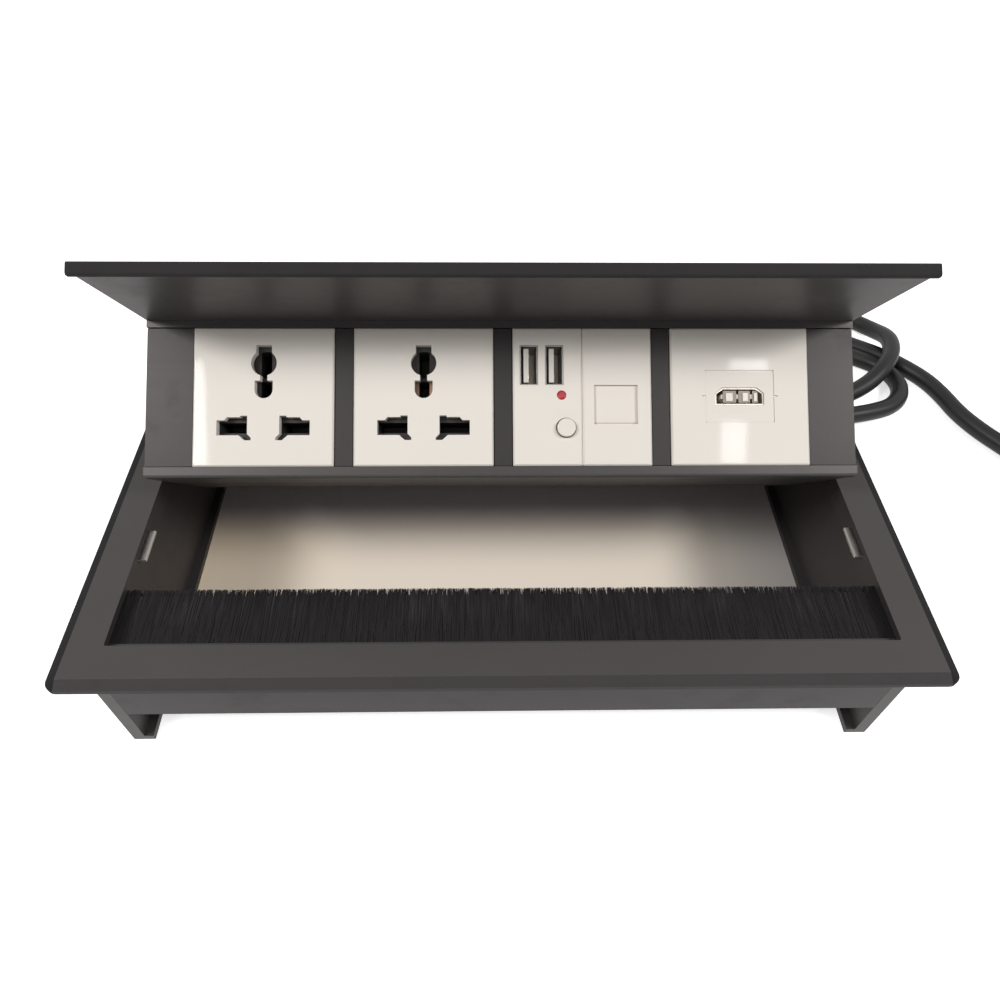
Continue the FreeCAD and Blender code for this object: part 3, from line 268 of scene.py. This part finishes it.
def anodisedFinish(name, tone=1.0, paintedShadeWhere=None):
    # bead-blasted and dyed aluminium: a fine even grain, faint rolling lines and handling marks
    finish = Finish(name)
    place = finish.place()
    grain = finish.noise(place, 1 / (anodised["grainSize"] * mm), 1.0)
    lines = finish.noise(finish.stretched(anodised["lineScale"]), 1.0, 2.0)
    cloud = finish.noise(place, 22.0, 3.0, 0.6)
    smudge = finish.between(finish.noise(place, 60.0, 4.0, 0.65), 0.52, 0.72)
    dark, pale, bright = (shade(anodised["colour"], share * tone) for share in (0.9, 1.12, 1.6))
    colour = finish.mix(cloud, dark, pale)
    colour = finish.mix(finish.between(grain, 0.35, 0.7) * 0.35, colour, bright)
    roughness = anodised["roughness"] + cloud * 0.08 + smudge * 0.07 - lines * 0.04
    metallic = anodised["metallic"]
    if paintedShadeWhere:
        # painted shade where the mask says: the colour darker, rougher and less metallic
        paintedShade = paintedShadeWhere(finish)
        colour = finish.mix(paintedShade * paintedShadeEdge["share"], colour, paintedShadeEdge["colour"])
        roughness = roughness + paintedShade * paintedShadeEdge["roughness"]
        metallic = (1 - paintedShade) * metallic
    height = grain * 0.8 + lines * 0.35
    finish.set(BaseColor=colour, Metallic=metallic, Roughness=roughness,
               SpecularTint=anodised["edgeTint"], SpecularIORLevel=anodised["sheen"],
               Normal=finish.bump(height, 0.35, anodised["grainDepth"] * mm))
    return finish.material


whitePlastic = {
    "colour": (0.74, 0.695, 0.635),
    "shadow": (0.66, 0.61, 0.55),
    "roughness": 0.035,
    "sheen": 0.18,
    "skinDepth": 0.004,     # millimetres
}


def whiteFinish(name, tone=1.0, roughness=whitePlastic["roughness"]):
    # moulded white plastic: even and glossy, with a slight flow in its colour and a fine skin
    finish = Finish(name)
    place = finish.place()
    cloud = finish.noise(place, 30.0, 2.0)
    skin = finish.noise(place, 5200.0, 1.0)
    plain, shadow = (shade(whitePlastic[kind], tone) for kind in ("colour", "shadow"))
    colour = finish.mix(cloud * 0.35, plain, shadow)
    finish.set(BaseColor=colour, Roughness=roughness + skin * 0.02, SpecularIORLevel=whitePlastic["sheen"],
               Normal=finish.bump(skin, 0.03, whitePlastic["skinDepth"] * mm))
    return finish.material


blackPlastic = {
    "colour": (0.022, 0.021, 0.022),
    "roughness": 0.5,
    "grainSize": 0.3,       # millimetres
    "grainDepth": 0.03,
}


def blackPlasticFinish(name, colour=blackPlastic["colour"], roughness=blackPlastic["roughness"],
                       grainSize=blackPlastic["grainSize"]):
    # spark-eroded black plastic
    finish = Finish(name)
    place = finish.place()
    grain = finish.noise(place, 1 / (grainSize * mm), 2.0, 0.6)
    cloud = finish.noise(place, 50.0, 2.0)
    tone = finish.mix(cloud, shade(colour, 0.8), shade(colour, 1.35))
    finish.set(BaseColor=tone, Roughness=roughness + grain * 0.12,
               Normal=finish.bump(grain, 0.4, blackPlastic["grainDepth"] * mm))
    return finish.material


rubber = {
    "colour": (0.0115, 0.0105, 0.0105),
    "lint": (0.08, 0.075, 0.07, 1),
    "roughness": 0.36,
    "sheen": 0.28,
    "skinDepth": 0.03,      # millimetres
}


def rubberFinish(name):
    # soft cord sheath with a waxy gloss and a little lint
    finish = Finish(name)
    place = finish.place()
    cloud = finish.noise(place, 90.0, 3.0, 0.6)
    skin = finish.noise(place, 2400.0, 1.0)
    lint = finish.between(finish.noise(place, 700.0, 3.0, 0.7), 0.68, 0.76)
    colour = finish.mix(cloud, shade(rubber["colour"], 0.8), shade(rubber["colour"], 1.3))
    colour = finish.mix(lint * 0.25, colour, rubber["lint"])
    finish.set(BaseColor=colour, Roughness=rubber["roughness"] + cloud * 0.16 + lint * 0.2,
               SpecularIORLevel=rubber["sheen"],
               Normal=finish.bump(skin + cloud * 0.5, 0.25, rubber["skinDepth"] * mm))
    return finish.material


lineDepth = 0.01        # millimetres, of the drawn lines on metal


def metalFinish(name, colour, roughness, lineScale=(60, 4000, 4000), contrast=0.2):
    # drawn or plated metal with fine lines along one axis
    finish = Finish(name)
    lines = finish.noise(finish.stretched(lineScale), 1.0, 3.0, 0.6)
    cloud = finish.noise(finish.place(), 300.0, 3.0, 0.6)
    tone = finish.mix(lines, shade(colour, 1 - contrast), shade(colour, 1 + contrast))
    finish.set(BaseColor=tone, Metallic=1.0, Roughness=roughness + lines * 0.15 + cloud * 0.08,
               Normal=finish.bump(lines, 0.2, lineDepth * mm))
    return finish.material


# painted shade and a painted glint on the socket contacts
contactCopper = {
    "module": 1,
    "glintSpot": (1.5, 6.0, 2.0),      # on the panel, from the module's middle
    "glintReach": 2.5,
    "glintEnd": 7.0,
    # the painted glint's colour, then the copper painted dark as shade
    "bright": (0.42, 0.25, 0.17, 1),
    "paintedShadeCopper": ((0.016, 0.012, 0.012, 1), (0.035, 0.027, 0.026, 1)),
}


def contactFinish(name):
    # copper painted dark as shade inside the holes, with a painted glint beside the second socket's lower earth
    # hole
    finish = Finish(name)
    lines = finish.noise(finish.stretched((60, 2500, 2500)), 1.0, 3.0, 0.6)
    x, depth, height = contactCopper["glintSpot"]
    spot = onPanel(moduleCentres[contactCopper["module"]] + x, depth, height) * mm
    away = finish.add("ShaderNodeVectorMath", {"operation": "DISTANCE"}, {0: finish.place(), 1: spot}, output=1)
    glint = finish.between(away, contactCopper["glintReach"] * mm, contactCopper["glintEnd"] * mm, 1.0, 0.0)
    paintedShadeCopper = finish.mix(lines, *contactCopper["paintedShadeCopper"])
    colour = finish.mix(glint * (lines * 0.6 + 0.4), paintedShadeCopper, contactCopper["bright"])
    finish.set(BaseColor=colour, Metallic=0.4 + glint * 0.6, Roughness=0.45 + lines * 0.15,
               Normal=finish.bump(lines, 0.2, lineDepth * mm))
    return finish.material


redLens = {"deep": (0.28, 0.012, 0.016, 1), "clear": (0.42, 0.03, 0.035, 1), "coat": 0.5, "glow": 0.15}


def lensFinish(name):
    # the lamp's red lens, faintly lit
    finish = Finish(name)
    cloud = finish.noise(finish.place(), 1500.0, 2.0)
    colour = finish.mix(cloud, redLens["deep"], redLens["clear"])
    finish.set(BaseColor=colour, Roughness=0.18 + cloud * 0.08, CoatWeight=redLens["coat"], CoatRoughness=0.05,
               EmissionColor=colour, EmissionStrength=redLens["glow"])
    return finish.material


board = {"track": (0.03, 0.16, 0.07, 1), "mask": (0.012, 0.075, 0.035, 1), "trackWidth": 0.06}


def boardFinish(name):
    # green solder mask over copper tracks
    finish = Finish(name)
    cells = finish.add("ShaderNodeTexVoronoi", {"feature": "DISTANCE_TO_EDGE"},
                       {"Vector": finish.place(), "Scale": 500.0})
    tracks = cells > board["trackWidth"]
    colour = finish.mix(tracks, board["track"], board["mask"])
    finish.set(BaseColor=colour, Roughness=0.35 + tracks * 0.1, CoatWeight=0.3)
    return finish.material


wires = {
    "rise": 18,             # millimetres, over all three
    "blue": (0.01, 0.05, 0.3, 1),
    "brown": (0.12, 0.045, 0.02, 1),
    "green": (0.05, 0.25, 0.06, 1),
}


def wireFinish(name):
    # the three insulated wires lie one above the other and change colour from one to the next
    finish = Finish(name)
    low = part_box("inner_wires")[0]
    height = finish.axis("Z") * math.cos(closing) + finish.axis("Y") * math.sin(closing)
    bottom = low.z * math.cos(closing) + low.y * math.sin(closing)
    share = finish.between(height, bottom, bottom + wires["rise"] * mm)
    colour = finish.ramp(share, [(0.0, wires["blue"]), (0.4, wires["blue"]), (0.45, wires["brown"]),
                                 (0.7, wires["brown"]), (0.75, wires["green"])])
    cloud = finish.noise(finish.place(), 200.0, 2.0)
    finish.set(BaseColor=colour, Roughness=0.4 + cloud * 0.1)
    return finish.material


finishes = {
    "anodised_grey": anodisedFinish("anodisedGrey"),
    "black_screw_steel": metalFinish("blackScrewSteel", (0.06, 0.058, 0.06), 0.34),
    "bright_steel": metalFinish("brightSteel", (0.58, 0.55, 0.52), 0.26, (2500, 90, 2500)),
    "brass": metalFinish("turnedBrass", (0.66, 0.47, 0.20), 0.24),
    "copper_contacts": contactFinish("copperContacts"),
    "gold_contacts": metalFinish("goldContacts", (0.83, 0.60, 0.25), 0.22),
    "port_steel": metalFinish("portSteel", (0.33, 0.315, 0.30), 0.30),
    "bright_leaf": metalFinish("brightLeaf", (0.50, 0.465, 0.41), 0.5, (900, 900, 900), 0.3),
    "dull_leaf": metalFinish("dullLeaf", (0.24, 0.22, 0.195), 0.5, (1500, 1500, 1500), 0.5),
    "bristle_nylon": blackPlasticFinish("bristleCore", (0.014, 0.013, 0.014), 0.6),
    "black_plastic": blackPlasticFinish("blackPlastic"),
    "white_plastic": whiteFinish("whitePlastic"),
    "red_lens": lensFinish("redLens"),
    "board_green": boardFinish("boardGreen"),
    "cord_rubber": rubberFinish("cordRubber"),
    "plug_plastic": blackPlasticFinish("plugPlastic", (0.02, 0.0195, 0.02), 0.42, 0.5),
    "wire_insulation": wireFinish("wireInsulation"),
}


def dress(name, material):
    item = nodes[name]
    if not item.material_slots:
        item.data.materials.append(material)
    for slot in item.material_slots:
        slot.material = material


for part in frame["record"]["subparts"]:
    dress(part["node"], finishes[part["material_slot"]])
# painted shade on the frame's bevel and on the lid's front lip
dress("frame", anodisedFinish("anodisedFrame", paintedShadeWhere=bevelShadeMask))
dress("lid_plate", anodisedFinish("anodisedLid", paintedShadeWhere=frontLipShadeMask))
dress("box_shell", anodisedFinish("anodisedBox", tone=0.9))
# painted shade: the tongues take the white plastic a little greyer
dress("usb_tongues", whiteFinish("tongueWhite", tone=0.9, roughness=0.3))
dress("video_shell", metalFinish("videoShell", (0.60, 0.565, 0.51), 0.36))
# painted shade: the end blocks, the dividers and the front wall take the anodised finish at darker shares
for name, tone in (("end_blocks", 0.53), ("module_dividers", 0.57), ("front_wall", 0.47)):
    dress(name, anodisedFinish("anodised_" + name, tone=tone))
print("finishes made and given to the frame's nodes")


# Edges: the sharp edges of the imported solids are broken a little, so that they catch the light

edgeBreaks = {
    "frame": 0.35, "front_wall": 0.3, "rear_wall": 0.3, "side_plate_left": 0.35, "side_plate_right": 0.35,
    "lid_plate": 0.3, "box_shell": 0.25, "end_blocks": 0.2, "module_dividers": 0.2, "end_caps": 0.25,
    "socket_face_1": 0.08, "socket_face_2": 0.08, "usb_face": 0.08, "data_face": 0.08, "video_face": 0.08,
    "video_insert": 0.08, "data_shutter": 0.1, "lid_rests": 0.06, "plug_body": 0.2, "plug_pins": 0.2,
    "cable_gland": 0.3, "gland_nut": 0.3, "cord_boot": 0.3, "usb_shells": 0.06, "video_shell": 0.08,
    "brush_holder": 0.15,
}
sharpFrom = 38          # degrees between two faces
weldWithin = 0.002      # millimetres


def breakEdges(name, width):
    item = nodes[name]
    weld = item.modifiers.new("weld", "WELD")
    weld.merge_threshold = weldWithin * mm
    bevel = item.modifiers.new("edges", "BEVEL")
    bevel.width = width * mm
    bevel.segments = 2
    bevel.limit_method = "ANGLE"
    bevel.angle_limit = math.radians(sharpFrom)
    bevel.use_clamp_overlap = True
    flat = item.modifiers.new("flatFaces", "WEIGHTED_NORMAL")
    flat.keep_sharp = True
    flat.weight = 100


for name, width in edgeBreaks.items():
    breakEdges(name, width)
print("edges broken")


# Cord: one smooth line through the route, the coil and the tail

cord = {
    "length": 1.745,  # metres outside the box, of a lead 1.8 m long
    "diameter": 8.0,
    "floor": 4.1,
    "route": [
        (95.0, 108.7, 22.0), (95.0, 122.7, 22.0), (96.5, 138.7, 14.5), (102.0, 156.0, 6.0),
        (115.0, 171.0, 4.1), (133.0, 178.0, 4.1), (154.0, 176.0, 4.1), (173.0, 168.0, 4.1),
        (187.5, 155.5, 4.1), (197.0, 141.5, 6.5), (199.0, 127.5, 12.4), (195.5, 115.0, 13.6),
        (188.0, 104.0, 13.4), (178.5, 95.5, 9.5), (163.5, 90.0, 5.0), (143.5, 87.0, 4.1),
        (125.0, 94.5, 4.1), (116.0, 111.5, 4.1), (121.5, 129.0, 4.1), (139.5, 137.0, 4.1),
        (159.5, 135.3, 4.1), (181.5, 122.6, 4.1), (194.5, 113.5, 4.1), (198.5, 99.5, 4.1),
        (190.5, 86.5, 4.1), (175.5, 81.5, 4.1), (158.0, 78.6, 4.1), (138.5, 77.0, 4.1),
        (119.5, 82.0, 4.1), (107.0, 95.5, 4.1), (103.8, 114.0, 4.1), (110.5, 131.5, 4.1),
        (126.5, 144.5, 4.1), (147.0, 148.8, 4.1), (167.0, 143.5, 4.1), (183.0, 131.8, 4.1),
        (196.5, 123.4, 4.1), (206.5, 112.5, 4.1), (212.3, 104.0, 4.1), (216.0, 93.5, 4.1),
        (218.3, 81.5, 4.1), (224.0, 69.0, 4.1), (232.0, 57.5, 4.1), (240.0, 44.5, 4.1),
    ],
    "coilRadius": 52.0,
    "coilPitch": 9.9,
    "halfTurnsIn": 3,
    "stepsPerHalfTurn": 12,
    "plugHeight": 21.0,
    "tailRise": 11.0,               # along the tail, where it leaves the coil's height
    "tailBend": (23.0, 5.0),        # along the tail, and aside
    "tailEnd": (32.0, 13.0),
}


def coilLine():
    # half circles about alternate centres: in, up through one half turn, and out again
    last, start = Vector(cord["route"][-2]), Vector(cord["route"][-1])
    heading = (start - last).normalized()
    outward = Vector((heading.y, -heading.x, 0))
    centre = start + heading * cord["diameter"] - outward * cord["coilRadius"]
    steps = cord["stepsPerHalfTurn"]
    widen = 1 / math.cos(math.pi / steps / 2)
    points = []
    radius, level, side = cord["coilRadius"], cord["floor"], 1
    for turn in range(2 * cord["halfTurnsIn"] + 1):
        change = cord["coilPitch"] / 2
        climb = 0
        if turn < cord["halfTurnsIn"]:
            change = -change
        elif turn == cord["halfTurnsIn"]:
            change, climb = 0, cord["coilPitch"]
        mean = radius + change / 2
        middle = centre - outward * (side * change / 2)
        for step in range(steps):
            angle = math.pi * (step + 0.5) / steps
            along = outward * (side * math.cos(angle)) + heading * (side * math.sin(angle))
            spot = middle + along * mean * widen
            points.append(Vector((spot.x, spot.y, level + climb * (1 - math.cos(angle)) / 2)))
        radius, level, side = radius + change, level + climb, -side
    end = centre + outward * (side * radius)
    return points, Vector((end.x, end.y, level)), heading * side


def tailLine(start, heading):
    # from the coil down to the middle of the plug, leaning to the side
    lean = Vector((heading.y, -heading.x, 0))
    straight = start + heading * cord["diameter"]
    points = [start, straight, straight + heading * cord["tailRise"]]
    for ahead, aside in (cord["tailBend"], cord["tailEnd"]):
        point = straight + heading * ahead + lean * aside
        points.append(Vector((point.x, point.y, cord["plugHeight"] / 2)))
    return points


def makeCord():
    coil, end, heading = coilLine()
    points = [Vector(point) for point in cord["route"]] + coil + tailLine(end, heading)
    curve = bpy.data.curves.new("mainsCord", "CURVE")
    curve.dimensions = "3D"
    spline = curve.splines.new("NURBS")
    spline.points.add(len(points) - 1)
    for target, point in zip(spline.points, points):
        target.co = (*(point * mm), 1)
    spline.order_u = 3
    spline.use_endpoint_u = True
    spline.resolution_u = 6
    curve.bevel_depth = cord["diameter"] / 2 * mm
    curve.bevel_resolution = 6
    curve.use_fill_caps = True
    piece = bpy.data.objects.new("mainsCord", curve)
    scene.collection.objects.link(piece)
    curve.materials.append(finishes["cord_rubber"])
    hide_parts("power_cord", "cord_coil", "cord_tail")
    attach(piece, "base")


makeCord()
print("cord laid")


# Mesh writing

def newPiece(name, mesh, material, body):
    data = bpy.data.meshes.new(name)
    mesh.to_mesh(data)
    mesh.free()
    data.materials.append(material)
    piece = bpy.data.objects.new(name, data)
    scene.collection.objects.link(piece)
    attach(piece, body)
    return piece


def addBlock(mesh, place, low, high, bevel=0.0):
    # a block between two corners, put in place by a function of its three lengths
    corners = [[(low[0], high[0])[x], (low[1], high[1])[y], (low[2], high[2])[z]]
               for x in (0, 1) for y in (0, 1) for z in (0, 1)]
    points = [mesh.verts.new(place(*corner) * mm) for corner in corners]
    quads = ((0, 1, 3, 2), (4, 6, 7, 5), (0, 4, 5, 1), (2, 3, 7, 6), (0, 2, 6, 4), (1, 5, 7, 3))
    faces = [mesh.faces.new([points[spot] for spot in quad]) for quad in quads]
    if bevel:
        edges = {edge for face in faces for edge in face.edges}
        bmesh.ops.bevel(mesh, geom=list(edges), offset=bevel * mm, segments=2, profile=0.5, affect="EDGES")


# Brush: a dark core with fine loose bristles over it, set in tufts, in millimetres

brush = {
    "tufts": 330,
    "perTuft": 26,
    "thickness": 0.26,
    "taper": (1, 0.9, 0.45),    # at the root, the middle and the tip
    "rootInset": 0.6,
    "topInset": 0.12,
    "bottomInset": 0.15,
    "sideInset": 0.05,
    "heightInset": 0.1,
    "past": 0.55,               # tips beyond the solid
    "uneven": 0.16,
    "tuftUneven": 0.08,
    "tuftLean": 0.3,
    "tuftSpread": 0.42,
    "drift": 0.25,
    "bow": 0.2,                 # share of the drift that the middle has too much
    "tipLift": 0.14,
    "middleLift": 0.06,
    "strayTufts": 16,
    "strayEach": 3,
    "strayShort": (1, 3),
    "strayDrift": 1.0,
    "coreShort": 1.6,
    "coreInset": 0.4,
    "coreBevel": 0.2,
    # painted sheen: paler bristles in patches near the tips
    "paintedSheenFrom": 13,            # from the tips back towards the root
    "paintedSheenFull": 5,
    "colour": (0.0195, 0.0178, 0.0190, 1),
    "paintedSheen": (0.046, 0.042, 0.045, 1),
    "seed": 7,
}


def addBristle(mesh, points, thickness):
    # a three-sided tapering rod along three points
    rings = []
    for place, point in enumerate(points):
        size = thickness / 2 * brush["taper"][place]
        ring = []
        for side in range(3):
            angle = 2.1 * side + 0.5
            offset = Vector((math.cos(angle) * size, 0, math.sin(angle) * size))
            ring.append(mesh.verts.new((point + offset) * mm))
        rings.append(ring)
    for first, second in zip(rings[:-1], rings[1:]):
        for side in range(3):
            after = (side + 1) % 3
            mesh.faces.new((first[side], first[after], second[after], second[side]))
    mesh.faces.new(rings[-1])


def makeBrush():
    low, high = nodeBox("brush_bristles")
    rng = random.Random(brush["seed"])
    mesh = bmesh.new()
    width = high.x - low.x
    root = low.y + brush["rootInset"]
    top = high.z - brush["topInset"]
    fall = high.z - low.z - brush["topInset"] - brush["bottomInset"]
    stray = set(rng.sample(range(brush["tufts"]), brush["strayTufts"]))

    def inside(point):
        point.x = min(max(point.x, low.x + brush["sideInset"]), high.x - brush["sideInset"])
        point.z = min(max(point.z, low.z + brush["heightInset"]), high.z - brush["heightInset"])
        return point

    for tuft in range(brush["tufts"]):
        x = low.x + width * (tuft + 0.5) / brush["tufts"]
        reach = high.y + brush["past"] - root + rng.gauss(0, brush["tuftUneven"])
        lean = rng.gauss(0, brush["tuftLean"])
        for bristle in range(brush["perTuft"]):
            loose = tuft in stray and bristle % brush["strayEach"] == 0
            depth = rng.random() ** 2 * fall    # most bristles lie near the top
            start = inside(Vector((x + rng.gauss(0, brush["tuftSpread"]), root, top - depth)))
            if loose:
                start.z = top
            length = reach - abs(rng.gauss(0, brush["uneven"]))
            if loose:
                length -= rng.uniform(*brush["strayShort"])
            drift = lean + rng.gauss(0, brush["strayDrift"] if loose else brush["drift"])
            tip = inside(start + Vector((drift, length, rng.gauss(0, brush["tipLift"]))))
            bow = Vector((drift * brush["bow"], 0, rng.gauss(0, brush["middleLift"])))
            middle = inside((start + tip) / 2 + bow)
            addBristle(mesh, (start, middle, tip), brush["thickness"])
    finish = Finish("bristles")
    tone = finish.noise(finish.stretched((1500, 60, 600)), 1.0, 2.0, 0.7)
    patches = finish.between(finish.noise(finish.stretched((70, 30, 30)), 1.0, 3.0, 0.6), 0.45, 0.65)
    # painted sheen: the bristles paler in patches near their tips
    nearTips = finish.between(finish.axis("Y"), (high.y - brush["paintedSheenFrom"]) * mm,
                              (high.y - brush["paintedSheenFull"]) * mm)
    paintedSheen = patches * nearTips * finish.between(tone, 0.4, 0.7)
    colour = finish.mix(paintedSheen, brush["colour"], brush["paintedSheen"])
    finish.set(BaseColor=colour, Roughness=0.75, SpecularIORLevel=0.1)
    piece = newPiece("bristles", mesh, finish.material, "base")
    core = bmesh.new()
    inset = brush["coreInset"]
    addBlock(core, lambda x, y, z: Vector((x, y, z)), (low.x, low.y, low.z + inset),
             (high.x, high.y - brush["coreShort"], high.z - inset), brush["coreBevel"])
    under = newPiece("bristleCore", core, finishes["bristle_nylon"], "base")
    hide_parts("brush_bristles")


makeBrush()
print("brush made")


# Contacts in the charging ports and the video port, in millimetres from the middle of their outlet

usbPort = {
    "module": 2,
    "centres": (-17.2, -9.0),
    "height": 10.2,
    "halfWidth": 2.85,
    "side": 1.2,            # gap beside the tongue
    "tongue": 1.6,
    "rows": ((-3.5, 1.6), (-1.0, 2.4), (1.0, 2.4), (3.5, 1.6)),     # height and front end of each contact
    "back": 12.4,
    "halfHeight": 0.5,
    "sunk": 0.02,
    "proud": 0.12,
    "bevel": 0.04,
}
videoPort = {
    "module": 3,
    "contacts": 10,
    "firstContact": -4.95,
    "contactStep": 1.1,
    "halfContact": 0.3,
    "contactHeight": (0.78, 0.9),
    "contactDepth": (1.65, 8.85),
    "contactBevel": 0.03,
    # painted reflection: pale bands inside the port, and bright leaves on them as glints
    "reflectionBands": ((-5.2, -0.8), (-0.1, 3.7), (4.4, 6.3)),
    "reflectionBandDepth": (1.02, 1.3),
    "reflectionBandHeight": (-2.0, 2.0),
    "glintLeaves": ((-4.3, -2.0), (1.2, 3.0), (4.9, 5.9)),
    "glintLeafDepth": (0.75, 1.02),
    "glintLeafHeight": (-1.5, 1.3),
    "leafBevel": 0.1,
}


def makeUsbContacts():
    mesh = bmesh.new()
    onTongue = usbPort["side"] + usbPort["tongue"] - usbPort["halfWidth"]
    for x in usbPort["centres"]:
        face = moduleCentres[usbPort["module"]] + x + onTongue
        for offset, front in usbPort["rows"]:
            height = usbPort["height"] + offset
            addBlock(mesh, onPanel, (face - usbPort["sunk"], front, height - usbPort["halfHeight"]),
                     (face + usbPort["proud"], usbPort["back"], height + usbPort["halfHeight"]),
                     usbPort["bevel"])
    piece = newPiece("portContacts", mesh, finishes["gold_contacts"], "lid")


def makeVideoContacts():
    mesh = bmesh.new()
    (front, back), (bottom, top) = videoPort["contactDepth"], videoPort["contactHeight"]
    half = videoPort["halfContact"]
    for place in range(videoPort["contacts"]):
        x = moduleCentres[videoPort["module"]] + videoPort["firstContact"] + place * videoPort["contactStep"]
        addBlock(mesh, onPanel, (x - half, front, bottom), (x + half, back, top), videoPort["contactBevel"])
    piece = newPiece("videoContacts", mesh, finishes["gold_contacts"], "lid")


def makeVideoLeaves(name, spans, depth, height, material):
    # flat leaves across the port's opening, each from one x to another: painted reflection, pale bands with bright
    # glints on them
    mesh = bmesh.new()
    centre = moduleCentres[videoPort["module"]]
    for low, high in spans:
        addBlock(mesh, onPanel, (centre + low, depth[0], height[0]), (centre + high, depth[1], height[1]),
                 videoPort["leafBevel"])
    piece = newPiece(name, mesh, material, "lid")


makeUsbContacts()
makeVideoContacts()
makeVideoLeaves("videoReflectionBands", videoPort["reflectionBands"], videoPort["reflectionBandDepth"], videoPort["reflectionBandHeight"],
                finishes["dull_leaf"])
makeVideoLeaves("videoGlintLeaves", videoPort["glintLeaves"], videoPort["glintLeafDepth"], videoPort["glintLeafHeight"],
                finishes["bright_leaf"])
print("contacts made")


# Stage, in metres: a white table, warm under the box as in the photograph, with painted light and shade there, and
# soft light

stage = {
    "ambient": 0.26,
    "size": 6.0,
    "white": (0.95, 0.95, 0.95, 1),
    "glow": 0.6,
    "roughness": 0.7,
    "halfWidth": 0.1172,        # of the part that shows through the box
    "front": -0.042,
    "back": 0.0697,
    # under the box, the table's own beige, brighter at the left end and darker at the right end: painted light and
    # shade
    "warm": [(0.0, (1.0, 0.84, 0.64, 1)), (0.25, (0.82, 0.72, 0.61, 1)),
             (0.78, (0.80, 0.71, 0.60, 1)), (1.0, (0.45, 0.42, 0.40, 1))],
    "warmHalf": 0.117,
    # painted light: a paler colour towards the back under the box, where the table lies in the box's shadow
    "deep": (0.85, 0.75, 0.74, 1),
    "paintedLightFrom": 0.017,
    "paintedLightFull": 0.030,
}
# two windows, and three small lamps for the glints on the outer faces
lamps = [
    {"name": "leftWindow", "place": (-0.95, -0.50, 1.27), "power": 14.1, "width": 0.6, "height": 0.30,
     "across": (0.75, -0.66, 0)},
    {"name": "rightWindow", "place": (1.02, -0.50, 1.27), "power": 13.9, "width": 0.6, "height": 0.30,
     "across": (0.75, 0.66, 0)},
    {"name": "leftGlint", "place": (-0.4924, -0.5317, 1.0201), "power": 0.42, "width": 0.037,
     "height": 0.181, "across": (0.961, -0.140, 0.238)},
    {"name": "upperGlint", "place": (0.4584, -0.4626, 1.0683), "power": 0.065, "width": 0.062,
     "height": 0.0163, "across": (0.964, 0.117, -0.240)},
    {"name": "lowerGlint", "place": (0.4370, -0.5809, 1.0046), "power": 0.15, "width": 0.042,
     "height": 0.0725, "across": (0.966, 0.133, -0.220)},
]


def makeFloor():
    mesh = bmesh.new()
    bmesh.ops.create_grid(mesh, x_segments=1, y_segments=1, size=stage["size"])
    data = bpy.data.meshes.new("floor")
    mesh.to_mesh(data)
    mesh.free()
    floor = bpy.data.objects.new("floor", data)
    scene.collection.objects.link(floor)
    finish = Finish("paleTable")
    across, along = finish.axis("X"), finish.axis("Y")
    inside = (stage["halfWidth"] - abs(across)) > 0
    inside = inside * ((stage["back"] - along) > 0) * ((along - stage["front"]) > 0)
    rays = [finish.add("ShaderNodeLightPath", output=f"Is {kind} Ray")
            for kind in ("Camera", "Glossy", "Transmission")]
    seen = rays[0] | rays[1] | rays[2]
    # painted light towards the back under the box, and painted light and shade across the beige
    deep = finish.between(along, stage["paintedLightFrom"], stage["paintedLightFull"])
    warm = finish.ramp(finish.between(across, -stage["warmHalf"], stage["warmHalf"]), stage["warm"])
    colour = finish.mix(deep, warm, stage["deep"])
    colour = finish.mix(inside, stage["white"], colour)
    glow = finish.mix(seen * (1 - inside), (0, 0, 0, 1), (1, 1, 1, 1))
    finish.set(BaseColor=colour, Roughness=stage["roughness"], EmissionColor=glow,
               EmissionStrength=stage["glow"])
    data.materials.append(finish.material)


def makeLamp(settings):
    # a rectangle that faces the box, with its width along the direction that it names
    lamp = bpy.data.lights.new(settings["name"], "AREA")
    lamp.shape = "RECTANGLE"
    lamp.energy = settings["power"]
    lamp.size = settings["width"]
    lamp.size_y = settings["height"]
    item = bpy.data.objects.new(settings["name"], lamp)
    scene.collection.objects.link(item)
    item.location = settings["place"]
    back = Vector(settings["place"]).normalized()
    across = Vector(settings["across"])
    across = (across - back * across.dot(back)).normalized()
    item.rotation_euler = Matrix((across, back.cross(across), back)).transposed().to_euler()


def makeWorld():
    # white for the camera and for reflections, dim as a light
    world = bpy.data.worlds.new("studio")
    scene.world = world
    world.use_nodes = True
    sky = NodeTree(world.node_tree)
    diffuse = sky.add("ShaderNodeLightPath", output="Is Diffuse Ray")
    background = world.node_tree.nodes["Background"]
    sky.feed(background.inputs["Strength"], sky.between(diffuse, 0.0, 1.0, 1.0, stage["ambient"]))
    sky.feed(background.inputs["Color"], (1, 1, 1, 1))


makeFloor()
for settings in lamps:
    makeLamp(settings)
makeWorld()
scene.view_settings.view_transform = "Standard"
print("stage lit")
